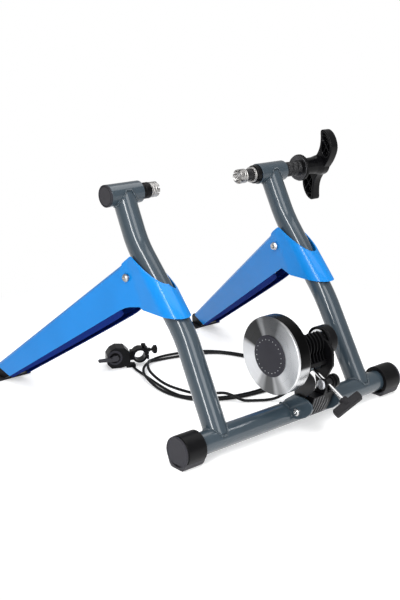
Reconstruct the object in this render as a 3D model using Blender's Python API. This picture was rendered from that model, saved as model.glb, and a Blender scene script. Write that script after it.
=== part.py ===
import math
import bpy
import bmesh
from mathutils import Matrix, Vector

for old in list(bpy.data.objects):
    bpy.data.objects.remove(old, do_unlink=True)

mm = 0.001
gap = 0.3 * mm

# sides on small, middling and large round pieces
coarse = 14
medium = 20
fine = 32

# cross tube on the floor, running left to right along X
cross_radius = 20 * mm
cross_height = 29.5 * mm
foot_span = 545 * mm
foot_length = 44 * mm
foot_radius = 27.5 * mm
foot_wall = 6 * mm
tube_wall = 2 * mm

# bent uprights; the bends' X is measured outward from the upright's own plane
upright_plane = 181.5 * mm
upright_radius = 21 * mm
lower_bend = Vector((-4.5 * mm, 91 * mm, 190 * mm))
upper_bend = Vector((2 * mm, 212.3 * mm, 326 * mm))
bend_radius_low = 250 * mm
bend_radius_high = 200 * mm

# axle line through the two sleeves
axle_y = 257 * mm
axle_z = 411 * mm
sleeve_radius = 20 * mm
sleeve_bore = 17.5 * mm
sleeve_inner = 146.5 * mm
sleeve_outer = 216.5 * mm
cap_face = sleeve_outer + 3.5 * mm
cap_depth = sleeve_outer - 11.5 * mm
bushing_face = sleeve_inner - 10.5 * mm
cup_radius = 14 * mm
cup_depth = 9 * mm
left_cup_mouth = -107 * mm
right_cup_mouth = 95 * mm
clamp_rod_radius = 12 * mm
screw_radius = 15 * mm
lock_ring_radius = 27 * mm
lock_ring_face = 272 * mm
lock_ring_back = lock_ring_face - 8 * mm
handle_start = 319 * mm
handle_thickness = 21 * mm
handle_end = handle_start + handle_thickness
screw_end = handle_start + handle_thickness * 0.524

# folding legs
pivot_y = 208.9 * mm
pivot_z = 272.4 * mm
collar_radius = 28 * mm
sheet = 2.5 * mm
leg_splay = 0.163
crease_y = 197 * mm
crease_z = 277 * mm
crease_lean = 0.553
leg_width_top = 28 * mm
leg_width_foot = 21 * mm
leg_end = 568 * mm
leg_cut_y = 521 * mm
leg_cut_z = 14 * mm
leg_cut_rise = 0.333
pad_front = 540 * mm
pad_back = 578 * mm
bolt_radius = 4 * mm
bush_radius = 6 * mm

# resistance unit
spin_y = -12 * mm
spin_z = 154 * mm
flywheel_radius = 69.5 * mm
flywheel_face = -73.8 * mm
flywheel_back = -45 * mm
hub_radius = 37 * mm
shaft_radius = 6 * mm
roller_radius = 15 * mm
near_cheek = -37 * mm
far_cheek = 41 * mm
cheek_thickness = 6 * mm
drum_radius = 27 * mm
drum_end = 71 * mm
hinge_y = -32 * mm
hinge_z = 43 * mm
hinge_radius = 4 * mm
trunnion_y = -57 * mm
trunnion_z = 94 * mm
barrel_y = -20 * mm
barrel_z = 113 * mm
rod_x = 23.5 * mm
rod_radius = 4 * mm
knob_reach = 98 * mm
knob_bar = 57 * mm
knob_thickness = 15 * mm
knob_twist = -54

# remote shifter lying on the floor behind the frame
shifter_x = -57 * mm
shifter_y = 458 * mm
shifter_turn = -27 * math.pi / 180
cable_radius = 2.8 * mm

colours = {
    "slate_paint": ((0.060, 0.094, 0.125), 0.28, 0.2),
    "blue_paint": ((0.010, 0.205, 0.800), 0.32, 0.1),
    "black_plastic": ((0.010, 0.010, 0.012), 0.42, 0.0),
    "black_rubber": ((0.012, 0.012, 0.013), 0.75, 0.0),
    "grey_plastic": ((0.032, 0.031, 0.035), 0.50, 0.0),
    "light_plastic": ((0.330, 0.340, 0.350), 0.45, 0.0),
    "bright_steel": ((0.620, 0.625, 0.630), 0.28, 1.0),
    "turned_silver": ((0.660, 0.670, 0.700), 0.22, 1.0),
    "zinc_plate": ((0.560, 0.570, 0.580), 0.38, 1.0),
    "black_metal": ((0.020, 0.020, 0.022), 0.35, 0.6),
    "cable_black": ((0.010, 0.010, 0.011), 0.50, 0.0),
}


def slot(name):
    found = bpy.data.materials.get(name)
    if found:
        return found
    colour, rough, metal = colours[name]
    made = bpy.data.materials.new(name)
    made.use_nodes = True
    shader = made.node_tree.nodes["Principled BSDF"]
    shader.inputs["Base Color"].default_value = (*colour, 1)
    shader.inputs["Roughness"].default_value = rough
    shader.inputs["Metallic"].default_value = metal
    made.diffuse_color = (*colour, 1)
    return made


def new_object(name, bm):
    bmesh.ops.remove_doubles(bm, verts=bm.verts, dist=0.01 * mm)
    bmesh.ops.recalc_face_normals(bm, faces=bm.faces)
    mesh = bpy.data.meshes.new(name)
    bm.to_mesh(mesh)
    bm.free()
    made = bpy.data.objects.new(name, mesh)
    bpy.context.collection.objects.link(made)
    return made


def lathe(name, profile, centre, axis, steps=medium):
    # profile is a closed loop of (along the axis, radius)
    bm = bmesh.new()
    ring = [bm.verts.new((radius, 0, along)) for along, radius in profile]
    for index, vert in enumerate(ring):
        bm.edges.new((vert, ring[(index + 1) % len(ring)]))
    geometry = list(bm.verts) + list(bm.edges)
    bmesh.ops.spin(bm, geom=geometry, cent=(0, 0, 0), axis=(0, 0, 1), angle=2 * math.pi, steps=steps,
                   use_merge=True)
    turn = Vector((0, 0, 1)).rotation_difference(Vector(axis)).to_matrix().to_4x4()
    bm.transform(Matrix.Translation(Vector(centre)) @ turn)
    return new_object(name, bm)


def along_x(name, profile, y, z, steps=medium):
    return lathe(name, profile, (0, y, z), (1, 0, 0), steps)


def ring_profile(start, end, outer, inner, chamfer=0.0):
    if chamfer <= 0:
        return [(start, inner), (start, outer), (end, outer), (end, inner)]
    return [(start, inner), (start, outer - chamfer), (start + chamfer, outer),
            (end - chamfer, outer), (end, outer - chamfer), (end, inner)]


def prism(name, outline, start, end):
    # outline of (y, z) points, extruded along X
    bm = bmesh.new()
    face = bm.faces.new([bm.verts.new((start, y, z)) for y, z in outline])
    grown = bmesh.ops.extrude_face_region(bm, geom=[face])
    moved = [item for item in grown["geom"] if isinstance(item, bmesh.types.BMVert)]
    bmesh.ops.translate(bm, verts=moved, vec=(end - start, 0, 0))
    return new_object(name, bm)


def block(name, low, high):
    bm = bmesh.new()
    bmesh.ops.create_cube(bm, size=1)
    low = Vector(low)
    high = Vector(high)
    bmesh.ops.scale(bm, verts=bm.verts, vec=high - low)
    bmesh.ops.translate(bm, verts=bm.verts, vec=(low + high) / 2)
    return new_object(name, bm)


def pin(name, start, end, radius, y, z, steps=coarse):
    return along_x(name, [(start, 0), (start, radius), (end, radius), (end, 0)], y, z, steps)


def combine(target, other, operation):
    step = target.modifiers.new("combine", "BOOLEAN")
    step.operation = operation
    step.solver = "EXACT"
    step.object = other
    bpy.context.view_layer.update()
    shaped = target.evaluated_get(bpy.context.evaluated_depsgraph_get())
    mesh = bpy.data.meshes.new_from_object(shaped)
    target.modifiers.clear()
    target.data = mesh
    bpy.data.objects.remove(other, do_unlink=True)


def cut(target, *others):
    for other in others:
        combine(target, other, "DIFFERENCE")


def join(target, *others):
    for other in others:
        combine(target, other, "UNION")


def soften(target, width, angle=40, segments=1):
    bm = bmesh.new()
    bm.from_mesh(target.data)
    bmesh.ops.dissolve_limit(bm, angle_limit=0.01, verts=bm.verts, edges=bm.edges)
    sharp = [edge for edge in bm.edges if len(edge.link_faces) == 2
             and edge.calc_face_angle(0) > math.radians(angle)]
    bmesh.ops.bevel(bm, geom=sharp, offset=width, segments=segments, affect="EDGES", profile=0.5,
                    clamp_overlap=True)
    bmesh.ops.recalc_face_normals(bm, faces=bm.faces)
    bm.to_mesh(target.data)
    bm.free()


def finish(target, material, pivot=(0, 0, 0)):
    # the origin goes to the joint axis, the shape stays where it is
    target.data.materials.clear()
    target.data.materials.append(slot(material))
    target.data.transform(Matrix.Translation(-Vector(pivot)))
    target.location = Vector(pivot)
    target.data.name = target.name
    for face in target.data.polygons:
        face.use_smooth = True
        face.material_index = 0
    target.data.set_sharp_from_angle(angle=math.radians(32))
    return target


def arc(y, z, radius, start, end, count):
    points = []
    for index in range(count):
        angle = math.radians(start + (end - start) * index / (count - 1))
        points.append((y + radius * math.cos(angle), z + radius * math.sin(angle)))
    return points


def smooth_path(points, per_span):
    # Catmull-Rom curve through open route points
    first = points[0] * 2 - points[1]
    last = points[-1] * 2 - points[-2]
    hold = [first] + points + [last]
    result = []
    for index in range(1, len(hold) - 2):
        a, b, c, d = hold[index - 1:index + 3]
        for step in range(per_span):
            t = step / per_span
            result.append(0.5 * (2 * b + (c - a) * t + (2 * a - 5 * b + 4 * c - d) * t * t
                                 + (3 * b - a - 3 * c + d) * t * t * t))
    result.append(points[-1])
    return result


def bent_path(points, radii, count=4):
    path = [points[0]]
    for index in range(1, len(points) - 1):
        into = (points[index] - points[index - 1]).normalized()
        out = (points[index + 1] - points[index]).normalized()
        turn = into.angle(out)
        reach = radii[index - 1] * math.tan(turn / 2)
        start = points[index] - into * reach
        side = into.cross(out).normalized()
        centre = start + side.cross(into) * radii[index - 1]
        for step in range(count):
            spin = Matrix.Rotation(turn * step / (count - 1), 3, side)
            path.append(centre + spin @ (start - centre))
    path.append(points[-1])
    return path


def swept_tube(name, path, outer, inner, steps=medium):
    bm = bmesh.new()
    rings = []
    for index, point in enumerate(path):
        before = path[max(index - 1, 0)]
        after = path[min(index + 1, len(path) - 1)]
        along = (after - before).normalized()
        side = Vector((1, 0, 0))
        up = along.cross(side)
        pair = []
        for radius in (outer, inner):
            ring = []
            for step in range(steps):
                angle = 2 * math.pi * step / steps
                ring.append(bm.verts.new(point + side * radius * math.cos(angle)
                                         + up * radius * math.sin(angle)))
            pair.append(ring)
        rings.append(pair)
    for first, second in zip(rings, rings[1:]):
        for layer in (0, 1):
            for step in range(steps):
                after = (step + 1) % steps
                bm.faces.new((first[layer][step], first[layer][after],
                              second[layer][after], second[layer][step]))
    for pair in (rings[0], rings[-1]):
        for step in range(steps):
            after = (step + 1) % steps
            bm.faces.new((pair[0][step], pair[0][after], pair[1][after], pair[1][step]))
    return new_object(name, bm)


def moved(target, shift):
    target.data.transform(Matrix.Translation(Vector(shift)))
    return target


sides = (("left", -1), ("right", 1))


# cross tube, foot hubs and their pads

half_span = foot_span / 2
tube_end = half_span - foot_wall - gap
finish(along_x("cross_tube", ring_profile(-tube_end, tube_end, cross_radius, cross_radius - tube_wall),
               0, cross_height, fine), "slate_paint")

pad_top = 7.2 * mm
for side, sign in sides:
    hub_inner = sign * (half_span - foot_length)
    hub_outer = sign * half_span
    profile = [(hub_inner, cross_radius + gap), (hub_inner, foot_radius - 1.5 * mm),
               (hub_inner + sign * 1.5 * mm, foot_radius), (hub_outer - sign * 2.5 * mm, foot_radius),
               (hub_outer, foot_radius - 2.5 * mm), (hub_outer, 0),
               (hub_outer - sign * foot_wall, 0), (hub_outer - sign * foot_wall, cross_radius + gap)]
    hub = along_x(side + "_foot_hub", profile, 0, cross_height, fine)
    reach = sorted((hub_inner - sign * 5 * mm, hub_outer + sign * 5 * mm))
    cut(hub, block("cutter", (reach[0], -40 * mm, -10 * mm), (reach[1], 40 * mm, pad_top + gap)))
    finish(hub, "black_plastic", (sign * (half_span - foot_length / 2), 0, cross_height))
    outline = [(-18 * mm, pad_top), (-17 * mm, 3.4 * mm), (-8 * mm, 0), (8 * mm, 0), (17 * mm, 3.4 * mm),
               (18 * mm, pad_top)]
    ends = sorted((hub_inner + sign * 2 * mm, hub_outer - sign * 2 * mm))
    pad = prism(side + "_foot_pad", outline, *ends)
    soften(pad, 0.6 * mm)
    finish(pad, "black_rubber", (sign * (half_span - foot_length / 2), 0, cross_height))


# uprights, sleeves and pivot lugs

def cylinder_cutter(y, z, radius, start, end, steps=fine):
    return pin("cutter", start, end, radius, y, z, steps)


tube_direction = Vector((0, upper_bend.y - lower_bend.y, upper_bend.z - lower_bend.z)).normalized()
tube_normal = Vector((0, -tube_direction.z, tube_direction.y))
pivot = Vector((0, pivot_y, pivot_z))
tube_offset = (lower_bend - pivot).dot(tube_normal)
lug_weld = 1.2 * mm
lug_radius = tube_offset - upright_radius + lug_weld
lug_inner = -20.5 * mm
lug_outer = 25 * mm
shoulder_inner = -28.4 * mm
shoulder_outer = 32.5 * mm
for side, sign in sides:
    foot_point = Vector((0, 0, cross_height))
    top_point = Vector((0, axle_y, axle_z))
    low = Vector((sign * lower_bend.x, lower_bend.y, lower_bend.z))
    high = Vector((sign * upper_bend.x, upper_bend.y, upper_bend.z))
    start = foot_point + (low - foot_point).normalized() * 6 * mm
    end = top_point - (top_point - high).normalized() * 6 * mm
    path = bent_path([start, low, high, end], [bend_radius_low, bend_radius_high])
    upright = swept_tube(side + "_upright", path, upright_radius, upright_radius - tube_wall)
    cut(upright, cylinder_cutter(0, cross_height, cross_radius + gap, -60 * mm, 60 * mm),
        cylinder_cutter(axle_y, axle_z, sleeve_radius + gap, -60 * mm, 60 * mm))
    lug_span = sorted((sign * lug_inner, sign * lug_outer))
    join(upright, pin("lug", *lug_span, lug_radius, pivot_y, pivot_z))
    cut(upright, cylinder_cutter(pivot_y, pivot_z, bolt_radius + gap, -60 * mm, 60 * mm, coarse))
    moved(upright, (sign * upright_plane, 0, 0))
    finish(upright, "slate_paint")
    span = sorted((sign * sleeve_inner, sign * sleeve_outer))
    finish(along_x(side + "_sleeve", ring_profile(*span, sleeve_radius, sleeve_bore, 0.8 * mm),
                   axle_y, axle_z, fine), "slate_paint")



# folding legs: wrap collar, channel and splay

def crease_at(z):
    return crease_y + (z - crease_z) * crease_lean


def place_leg(target, sign):
    # splits the sheet at the crease, leans everything past it outward and sets it on its upright
    bm = bmesh.new()
    bm.from_mesh(target.data)
    bmesh.ops.bisect_plane(bm, geom=list(bm.verts) + list(bm.edges) + list(bm.faces), dist=0.001 * mm,
                           plane_co=(0, crease_y, crease_z), plane_no=Vector((0, 1, -crease_lean)))
    for vert in bm.verts:
        past = vert.co.y - crease_at(vert.co.z)
        if past > 0:
            vert.co.x += past * leg_splay
        vert.co.x = sign * (vert.co.x + upright_plane)
    if sign < 0:
        bmesh.ops.reverse_faces(bm, faces=bm.faces)
    bm.to_mesh(target.data)
    bm.free()
    return target


def leg_top(y):
    return 298.4 * mm - 0.778 * (y - pivot_y)


def leg_bottom(y):
    return 219.3 * mm - 0.657 * (y - pivot_y)


def leg_half(y):
    return leg_width_top + (leg_width_foot - leg_width_top) * (y - pivot_y) / (leg_end - pivot_y)


def cut_line(y):
    return leg_cut_z + (y - leg_cut_y) * leg_cut_rise


def channel(name):
    # pressed channel: slanted shoulder band, flat top, side walls and turned-in lips
    wall = sheet - 0.2 * mm
    stations = ((222, 0.6, 3), (232, 1.5, 5), (268, 10, 11), (370, 10, 10), (497, 6, 6), (575, 5, 5))
    bm = bmesh.new()
    rings = []
    for y, turned, drop in stations:
        y = y * mm
        turned = turned * mm
        drop = drop * mm
        half = leg_half(y) - 0.1 * mm
        top = leg_top(y)
        low = leg_bottom(y)
        lip = math.hypot(turned, drop)
        outer = [(half - turned, low - drop), (half, low), (half, top), (half - 2.6 * mm, top + 7 * mm),
                 (half - 5.5 * mm, top + 9 * mm)]
        inner = [(half - turned - wall * drop / lip, low - drop + wall * turned / lip),
                 (half - wall, low + 0.4 * wall), (half - wall, top - 0.2 * mm),
                 (half - 2.6 * mm - wall, top + 6 * mm), (half - 6.2 * mm, top + 9 * mm - wall)]
        loop = outer + [(-x, z) for x, z in reversed(outer)]
        loop += [(-x, z) for x, z in inner] + list(reversed(inner))
        rings.append([bm.verts.new((x, y, z)) for x, z in loop])
    for first, second in zip(rings, rings[1:]):
        for index in range(len(first)):
            after = (index + 1) % len(first)
            bm.faces.new((first[index], first[after], second[after], second[index]))
    bm.faces.new(rings[0])
    bm.faces.new(rings[-1])
    return new_object(name, bm)


def collar(name):
    # U of sheet round the upright, trimmed to its side outline
    inner = collar_radius - sheet
    loop = arc(0, 0, collar_radius, 0, 180, 17) + [(-collar_radius, -110 * mm), (-inner, -110 * mm)]
    loop += arc(0, 0, inner, 180, 0, 17) + [(inner, -110 * mm), (collar_radius, -110 * mm)]
    bm = bmesh.new()
    face = bm.faces.new([bm.verts.new((x, n, 0)) for x, n in loop])
    grown = bmesh.ops.extrude_face_region(bm, geom=[face])
    tops = [item for item in grown["geom"] if isinstance(item, bmesh.types.BMVert)]
    bmesh.ops.translate(bm, verts=tops, vec=(0, 0, 330 * mm))
    axis_foot = pivot + tube_normal * tube_offset - tube_direction * 200 * mm
    frame = Matrix((Vector((1, 0, 0)), tube_normal, tube_direction)).transposed().to_4x4()
    bm.transform(Matrix.Translation(axis_foot) @ frame)
    wrap = new_object(name, bm)
    outline = [(70, 222), (168, 222), (180, 226.5), (192, 230.2), (232, 204.3), (232, 279.3), (225, 285),
               (223, 295), (216, 301.5), (202, 312), (123.3, 268.5), (96, 253), (60, 233)]
    trim = prism("trim", [(y * mm, z * mm) for y, z in outline], -60 * mm, 60 * mm)
    combine(wrap, trim, "INTERSECT")
    return wrap


for side, sign in sides:
    leg = collar(side + "_leg")
    join(leg, channel("channel"))
    cut(leg, cylinder_cutter(pivot_y, pivot_z, bush_radius + gap, -60 * mm, 60 * mm, coarse))
    cut(leg, prism("cutter", [(480 * mm, -80 * mm), (620 * mm, -80 * mm), (620 * mm, cut_line(620 * mm)),
                              (480 * mm, cut_line(480 * mm))], -60 * mm, 60 * mm))
    place_leg(leg, sign)
    finish(leg, "blue_paint", (sign * upright_plane, pivot_y, pivot_z))

    base = sign * upright_plane
    at_pivot = (base, pivot_y, pivot_z)
    head = shoulder_outer
    seat = lug_outer + gap
    bolt = [(lug_inner - 15 * mm, 0), (lug_inner - 15 * mm, bolt_radius), (seat, bolt_radius),
            (seat, bush_radius), (head, bush_radius), (head, 7.5 * mm), (head + 2.2 * mm, 7.2 * mm),
            (head + 4.6 * mm, 5 * mm), (head + 5.2 * mm, 2.6 * mm), (head + 3.4 * mm, 2.4 * mm),
            (head + 3.4 * mm, 0)]
    bolt = [(base + sign * along, radius) for along, radius in bolt]
    finish(along_x(side + "_leg_bolt", bolt, pivot_y, pivot_z, coarse), "bright_steel", at_pivot)
    seat = lug_inner - gap
    nut = [(seat, bolt_radius + gap), (seat, bush_radius), (shoulder_inner, bush_radius),
           (shoulder_inner, 8 * mm), (shoulder_inner - 2 * mm, 8 * mm), (shoulder_inner - 6 * mm, 6 * mm),
           (shoulder_inner - 6 * mm, bolt_radius + gap)]
    nut = [(base + sign * along, radius) for along, radius in nut]
    finish(along_x(side + "_leg_nut", nut, pivot_y, pivot_z, coarse), "bright_steel", at_pivot)

    plug_half = leg_half(leg_end)
    under = leg_cut_rise * gap + 2 * gap
    plug = prism(side + "_leg_plug", [(leg_cut_y + 2 * mm, cut_line(leg_cut_y + 2 * mm) - under),
                                      (leg_end - 1 * mm, cut_line(leg_end - 1 * mm) - under),
                                      (leg_end + 5 * mm, 22 * mm), (leg_end + 5 * mm, 5.2 * mm),
                                      (pad_front - 2 * mm, 5.2 * mm)], -plug_half, plug_half)
    soften(plug, 1.5 * mm)
    tongue_half = plug_half - sheet - 1.8 * mm
    tongue = prism("tongue", [(536 * mm, 15 * mm), (536 * mm, 36 * mm), (552 * mm, 27 * mm),
                              (556 * mm, 20 * mm)], -tongue_half, tongue_half)
    join(plug, tongue)
    place_leg(plug, sign)
    finish(plug, "black_plastic", at_pivot)
    pad = block(side + "_leg_pad", (-43 * mm, pad_front, 0), (43 * mm, pad_back, 4.9 * mm))
    cut(pad, block("cutter", (26 * mm, pad_back - 6 * mm, -5 * mm), (32 * mm, pad_back + 5 * mm, 10 * mm)))
    place_leg(pad, sign)
    finish(pad, "black_rubber", at_pivot)


# left axle side

disc_radius = sleeve_radius - 5 * mm
disc_back = 1.6 * mm - gap - cap_face
finish(along_x("left_end_cap",
               [(-cap_depth, 0), (-cap_depth, sleeve_bore - gap), (-sleeve_outer - gap, sleeve_bore - gap),
                (-sleeve_outer - gap, sleeve_radius), (1 * mm - cap_face, sleeve_radius),
                (-cap_face, sleeve_radius - 1 * mm), (-cap_face, disc_radius + gap),
                (1.6 * mm - cap_face, disc_radius + gap), (1.6 * mm - cap_face, 0)],
               axle_y, axle_z), "black_plastic")
finish(along_x("left_cap_disc",
               [(disc_back, 0), (disc_back, disc_radius), (disc_back - 1.5 * mm, disc_radius),
                (disc_back - 1.5 * mm, disc_radius - 2 * mm), (disc_back - 0.7 * mm, 0)],
               axle_y, axle_z), "grey_plastic")
finish(along_x("left_bushing",
               [(-sleeve_inner - 19.5 * mm, 8.3 * mm), (-sleeve_inner - 19.5 * mm, sleeve_bore - gap),
                (-sleeve_inner + gap, sleeve_bore - gap), (-sleeve_inner + gap, 14.75 * mm),
                (-126.3 * mm, 14.75 * mm), (-125.3 * mm, 13.7 * mm), (-125.3 * mm, 8.3 * mm)],
               axle_y, axle_z), "black_plastic")


def axle_cup(name, mouth, back, sign, stem_end, stem_radius):
    # steel cup with a notched rim; sign points from the mouth into the cup
    lip = mouth + sign * 0.8 * mm
    profile = [(mouth, cup_radius - 2.6 * mm), (mouth, cup_radius - 0.8 * mm), (lip, cup_radius),
               (back, cup_radius), (back, stem_radius), (stem_end, stem_radius), (stem_end, 0),
               (mouth + sign * cup_depth, 0), (mouth + sign * (cup_depth - 3 * mm), 7 * mm)]
    cup = along_x(name, profile, axle_y, axle_z, medium)
    for index in range(4):
        notch = block("notch", (-5 * mm, -1.7 * mm, -20 * mm), (5 * mm, 1.7 * mm, 20 * mm))
        notch.data.transform(Matrix.Rotation(math.pi * (index + 0.5) / 4, 4, "X"))
        moved(notch, (mouth, axle_y, axle_z))
        cut(cup, notch)
    return cup


finish(axle_cup("left_cup", left_cup_mouth, -125 * mm, -1, -152 * mm, 8 * mm), "bright_steel")


# right axle side: bushing, travelling cup and rod, screw, lock ring, handle

axle_pivot = (0, axle_y, axle_z)
finish(along_x("right_bushing",
               [(bushing_face, clamp_rod_radius + gap), (bushing_face, 16.8 * mm),
                (bushing_face + 1.2 * mm, 18 * mm),
                (sleeve_inner - gap, 18 * mm), (sleeve_inner - gap, sleeve_bore - gap),
                (sleeve_inner + 7.5 * mm, sleeve_bore - gap),
                (sleeve_inner + 7.5 * mm, clamp_rod_radius + gap)],
               axle_y, axle_z), "black_plastic")
finish(along_x("right_steel_ring",
               ring_profile(bushing_face - 7 * mm, bushing_face - gap, 15.5 * mm,
                            clamp_rod_radius + gap, 0.8 * mm),
               axle_y, axle_z), "bright_steel")
finish(along_x("right_thread_insert",
               ring_profile(sleeve_outer - 20.5 * mm, sleeve_outer - 0.5 * mm, sleeve_bore - gap,
                            screw_radius + gap),
               axle_y, axle_z), "black_metal")
finish(axle_cup("right_cup", right_cup_mouth, 112 * mm, 1, 128 * mm, 7 * mm), "bright_steel", axle_pivot)
rod_start = 112 * mm + gap
rod_end = 187 * mm
finish(along_x("clamp_rod",
               [(rod_start, 7.3 * mm), (rod_start, clamp_rod_radius), (rod_end, clamp_rod_radius),
                (rod_end, 6.3 * mm), (rod_end - 17 * mm, 6.3 * mm), (rod_end - 17 * mm, 0), (130 * mm, 0),
                (130 * mm, 7.3 * mm)],
               axle_y, axle_z), "black_metal", axle_pivot)
hub_start = lock_ring_face + gap
finish(along_x("clamp_screw",
               [(rod_end - 16 * mm, 0), (rod_end - 16 * mm, 6 * mm), (rod_end + gap, 6 * mm),
                (rod_end + gap, screw_radius), (lock_ring_face, screw_radius), (lock_ring_face, 10 * mm),
                (screw_end, 10 * mm), (screw_end, 0)],
               axle_y, axle_z), "black_metal", axle_pivot)
finish(along_x("lock_washer",
               ring_profile(lock_ring_back - 2 * mm, lock_ring_back, lock_ring_radius - 1.6 * mm,
                            screw_radius + gap),
               axle_y, axle_z), "bright_steel", axle_pivot)
finish(along_x("lock_ring",
               ring_profile(lock_ring_back + gap, lock_ring_face, lock_ring_radius, screw_radius + gap,
                            1.6 * mm),
               axle_y, axle_z), "black_plastic", axle_pivot)

half_outline = [(-8, 72), (-16, 74), (-27, 67), (-35, 55), (-39, 42), (-38, 30), (-31, 13), (-19, -4),
                (-7, -16), (2, -28), (7, -42), (8, -56)]
outline = [(y, z) for y, z in half_outline] + [(-y, -z) for y, z in half_outline]
outline = [(axle_y + y * mm, axle_z + z * mm) for y, z in outline]
handle = prism("handle", outline, handle_start, handle_end)
soften(handle, 3 * mm, 50)
pocket_outline = [(-14, 68), (-24, 63), (-31, 52), (-34.5, 40), (-32, 27), (-24, 19), (-12, 30), (-12.5, 48)]
for turn in (1, -1):
    pocket = prism("pocket", [(axle_y + turn * y * mm, axle_z + turn * z * mm) for y, z in pocket_outline],
                   handle_start - 5 * mm, handle_end - 8 * mm)
    for lean in (35, -35):
        rib = block("rib", (handle_start + 3 * mm, -0.9 * mm, -40 * mm), (handle_end, 0.9 * mm, 40 * mm))
        rib.data.transform(Matrix.Rotation(math.radians(lean), 4, "X"))
        moved(rib, (0, axle_y - turn * 23 * mm, axle_z + turn * 40 * mm))
        cut(pocket, rib)
    cut(handle, pocket)
cut(handle, cylinder_cutter(axle_y, axle_z, 17 * mm, handle_start - 9 * mm, handle_end - 6 * mm))
hub_neck = hub_start + (handle_start - hub_start) * 0.745
hub_end = handle_end - 3 * mm
hub_profile = [(hub_start, 10 * mm + gap), (hub_start, 17 * mm), (hub_neck, 18 * mm),
               (handle_start + 4 * mm, 21 * mm), (hub_end, 21 * mm), (hub_end, 0), (screw_end + gap, 0),
               (screw_end + gap, 10 * mm + gap)]
join(handle, along_x("hub", hub_profile, axle_y, axle_z))
finish(handle, "black_plastic", axle_pivot)


# bracket welded to the cross tube and the fixed tension arm

hinge = (0, hinge_y, hinge_z)
cheek_outline = [(17, 31), (12, 29), (-7, 25), (-36, 30.5), (-52, 38), (-64, 49), (-68, 58), (-66, 66),
                 (-54, 72), (-40, 73.5), (-23, 74), (-2, 58)]
cheek_outline = [(y * mm, z * mm) for y, z in cheek_outline]
bracket = prism("unit_bracket", cheek_outline, -24 * mm, -20 * mm)
join(bracket, prism("far", cheek_outline, 48 * mm, 52 * mm))
web = [(16, 33), (12, 43), (-1, 57), (-7, 60), (-3, 51), (7, 43), (9, 32)]
join(bracket, prism("web", [(y * mm, z * mm) for y, z in web], -22 * mm, 50 * mm))
cut(bracket, cylinder_cutter(0, cross_height, cross_radius + gap, -60 * mm, 80 * mm),
    cylinder_cutter(hinge_y, hinge_z, hinge_radius + gap, -60 * mm, 80 * mm, coarse))
finish(bracket, "slate_paint")

arm_low = -13.4 * mm
arm_high = 37 * mm
arm_outline = [(-14, 44), (-17, 36), (-24, 31), (-38, 31), (-46, 38), (-56, 58), (-66, 84)]
arm_outline = [(y * mm, z * mm) for y, z in arm_outline]
arm_outline += arc(trunnion_y, trunnion_z, 10 * mm, 195, 20, 8)
arm_outline += [(-44 * mm, 84 * mm), (-36 * mm, 66 * mm), (-20 * mm, 56 * mm)]
arm = prism("tension_arm", arm_outline, arm_low, arm_high)
cut(arm, block("slot", (15.7 * mm, -90 * mm, 78 * mm), (31.3 * mm, -30 * mm, 120 * mm)),
    block("slim", (-30 * mm, -90 * mm, 76 * mm), (10 * mm, -30 * mm, 120 * mm)),
    cylinder_cutter(0, cross_height, cross_radius + gap, -60 * mm, 80 * mm),
    cylinder_cutter(hinge_y, hinge_z, hinge_radius + gap, -60 * mm, 80 * mm, coarse),
    cylinder_cutter(trunnion_y, trunnion_z, 3.5 * mm + gap, 0, 60 * mm, coarse))
finish(arm, "black_plastic")


# tilting part of the resistance unit

spin_pivot = (0, spin_y, spin_z)
cheek_mid = cheek_thickness / 2
housing = prism("unit_housing", [(y * mm, z * mm) for y, z in (
    (-42, 121.3), (-42, 134), (-30, 150), (-28, 160), (-21, 168), (-12, 171), (-3, 168), (3, 161), (5, 151),
    (2, 138), (-2, 121.3))], near_cheek, near_cheek + cheek_thickness)
hinge_arc = arc(hinge_y, hinge_z, 9 * mm, 180, 360, 7)
far_outline = [(y * mm, z * mm) for y, z in (
    (-12, 93), (0, 118), (6, 140), (6, 153), (2, 163), (-5, 169), (-12, 171), (-24, 168), (-40, 160),
    (-50, 149), (-52, 140), (-53, 119), (-44, 103), (-37, 90))]
join(housing, prism("far_cheek", hinge_arc + far_outline, far_cheek, far_cheek + cheek_thickness))
join(housing, block("floor", (near_cheek + cheek_mid, -41 * mm, 121.5 * mm),
                    (far_cheek + cheek_mid, -3 * mm, 128.5 * mm)))
shroud = arc(spin_y, spin_z, 21 * mm, 96, 255, 15) + arc(spin_y, spin_z, 17 * mm, 255, 96, 15)
join(housing, prism("shroud", shroud, near_cheek + cheek_mid, far_cheek + cheek_mid))
rib_outline = arc(spin_y, spin_z, 25 * mm, 104, 205, 10) + [(-41.5 * mm, 124 * mm), (-30 * mm, 124 * mm)]
rib_outline += arc(spin_y, spin_z, 19.5 * mm, 225, 104, 10)
for index in range(5):
    place = (2 + 8 * index) * mm
    join(housing, prism("rib", rib_outline, place, place + 2.4 * mm))
ear = arc(barrel_y, barrel_z, 8 * mm, 180, 360, 7) + [(-12 * mm, 124 * mm), (-28 * mm, 124 * mm)]
join(housing, prism("ear", ear, 4.5 * mm, 10 * mm))
bearing_seat = 11 * mm
cut(housing, cylinder_cutter(spin_y, spin_z, bearing_seat, -60 * mm, near_cheek + 20 * mm),
    cylinder_cutter(spin_y, spin_z, bearing_seat, far_cheek - 8 * mm, 80 * mm),
    cylinder_cutter(barrel_y, barrel_z, 4 * mm + gap, 0, 80 * mm, coarse),
    cylinder_cutter(hinge_y, hinge_z, hinge_radius + gap, 0, 80 * mm, coarse))
finish(housing, "black_plastic", hinge)

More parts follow.
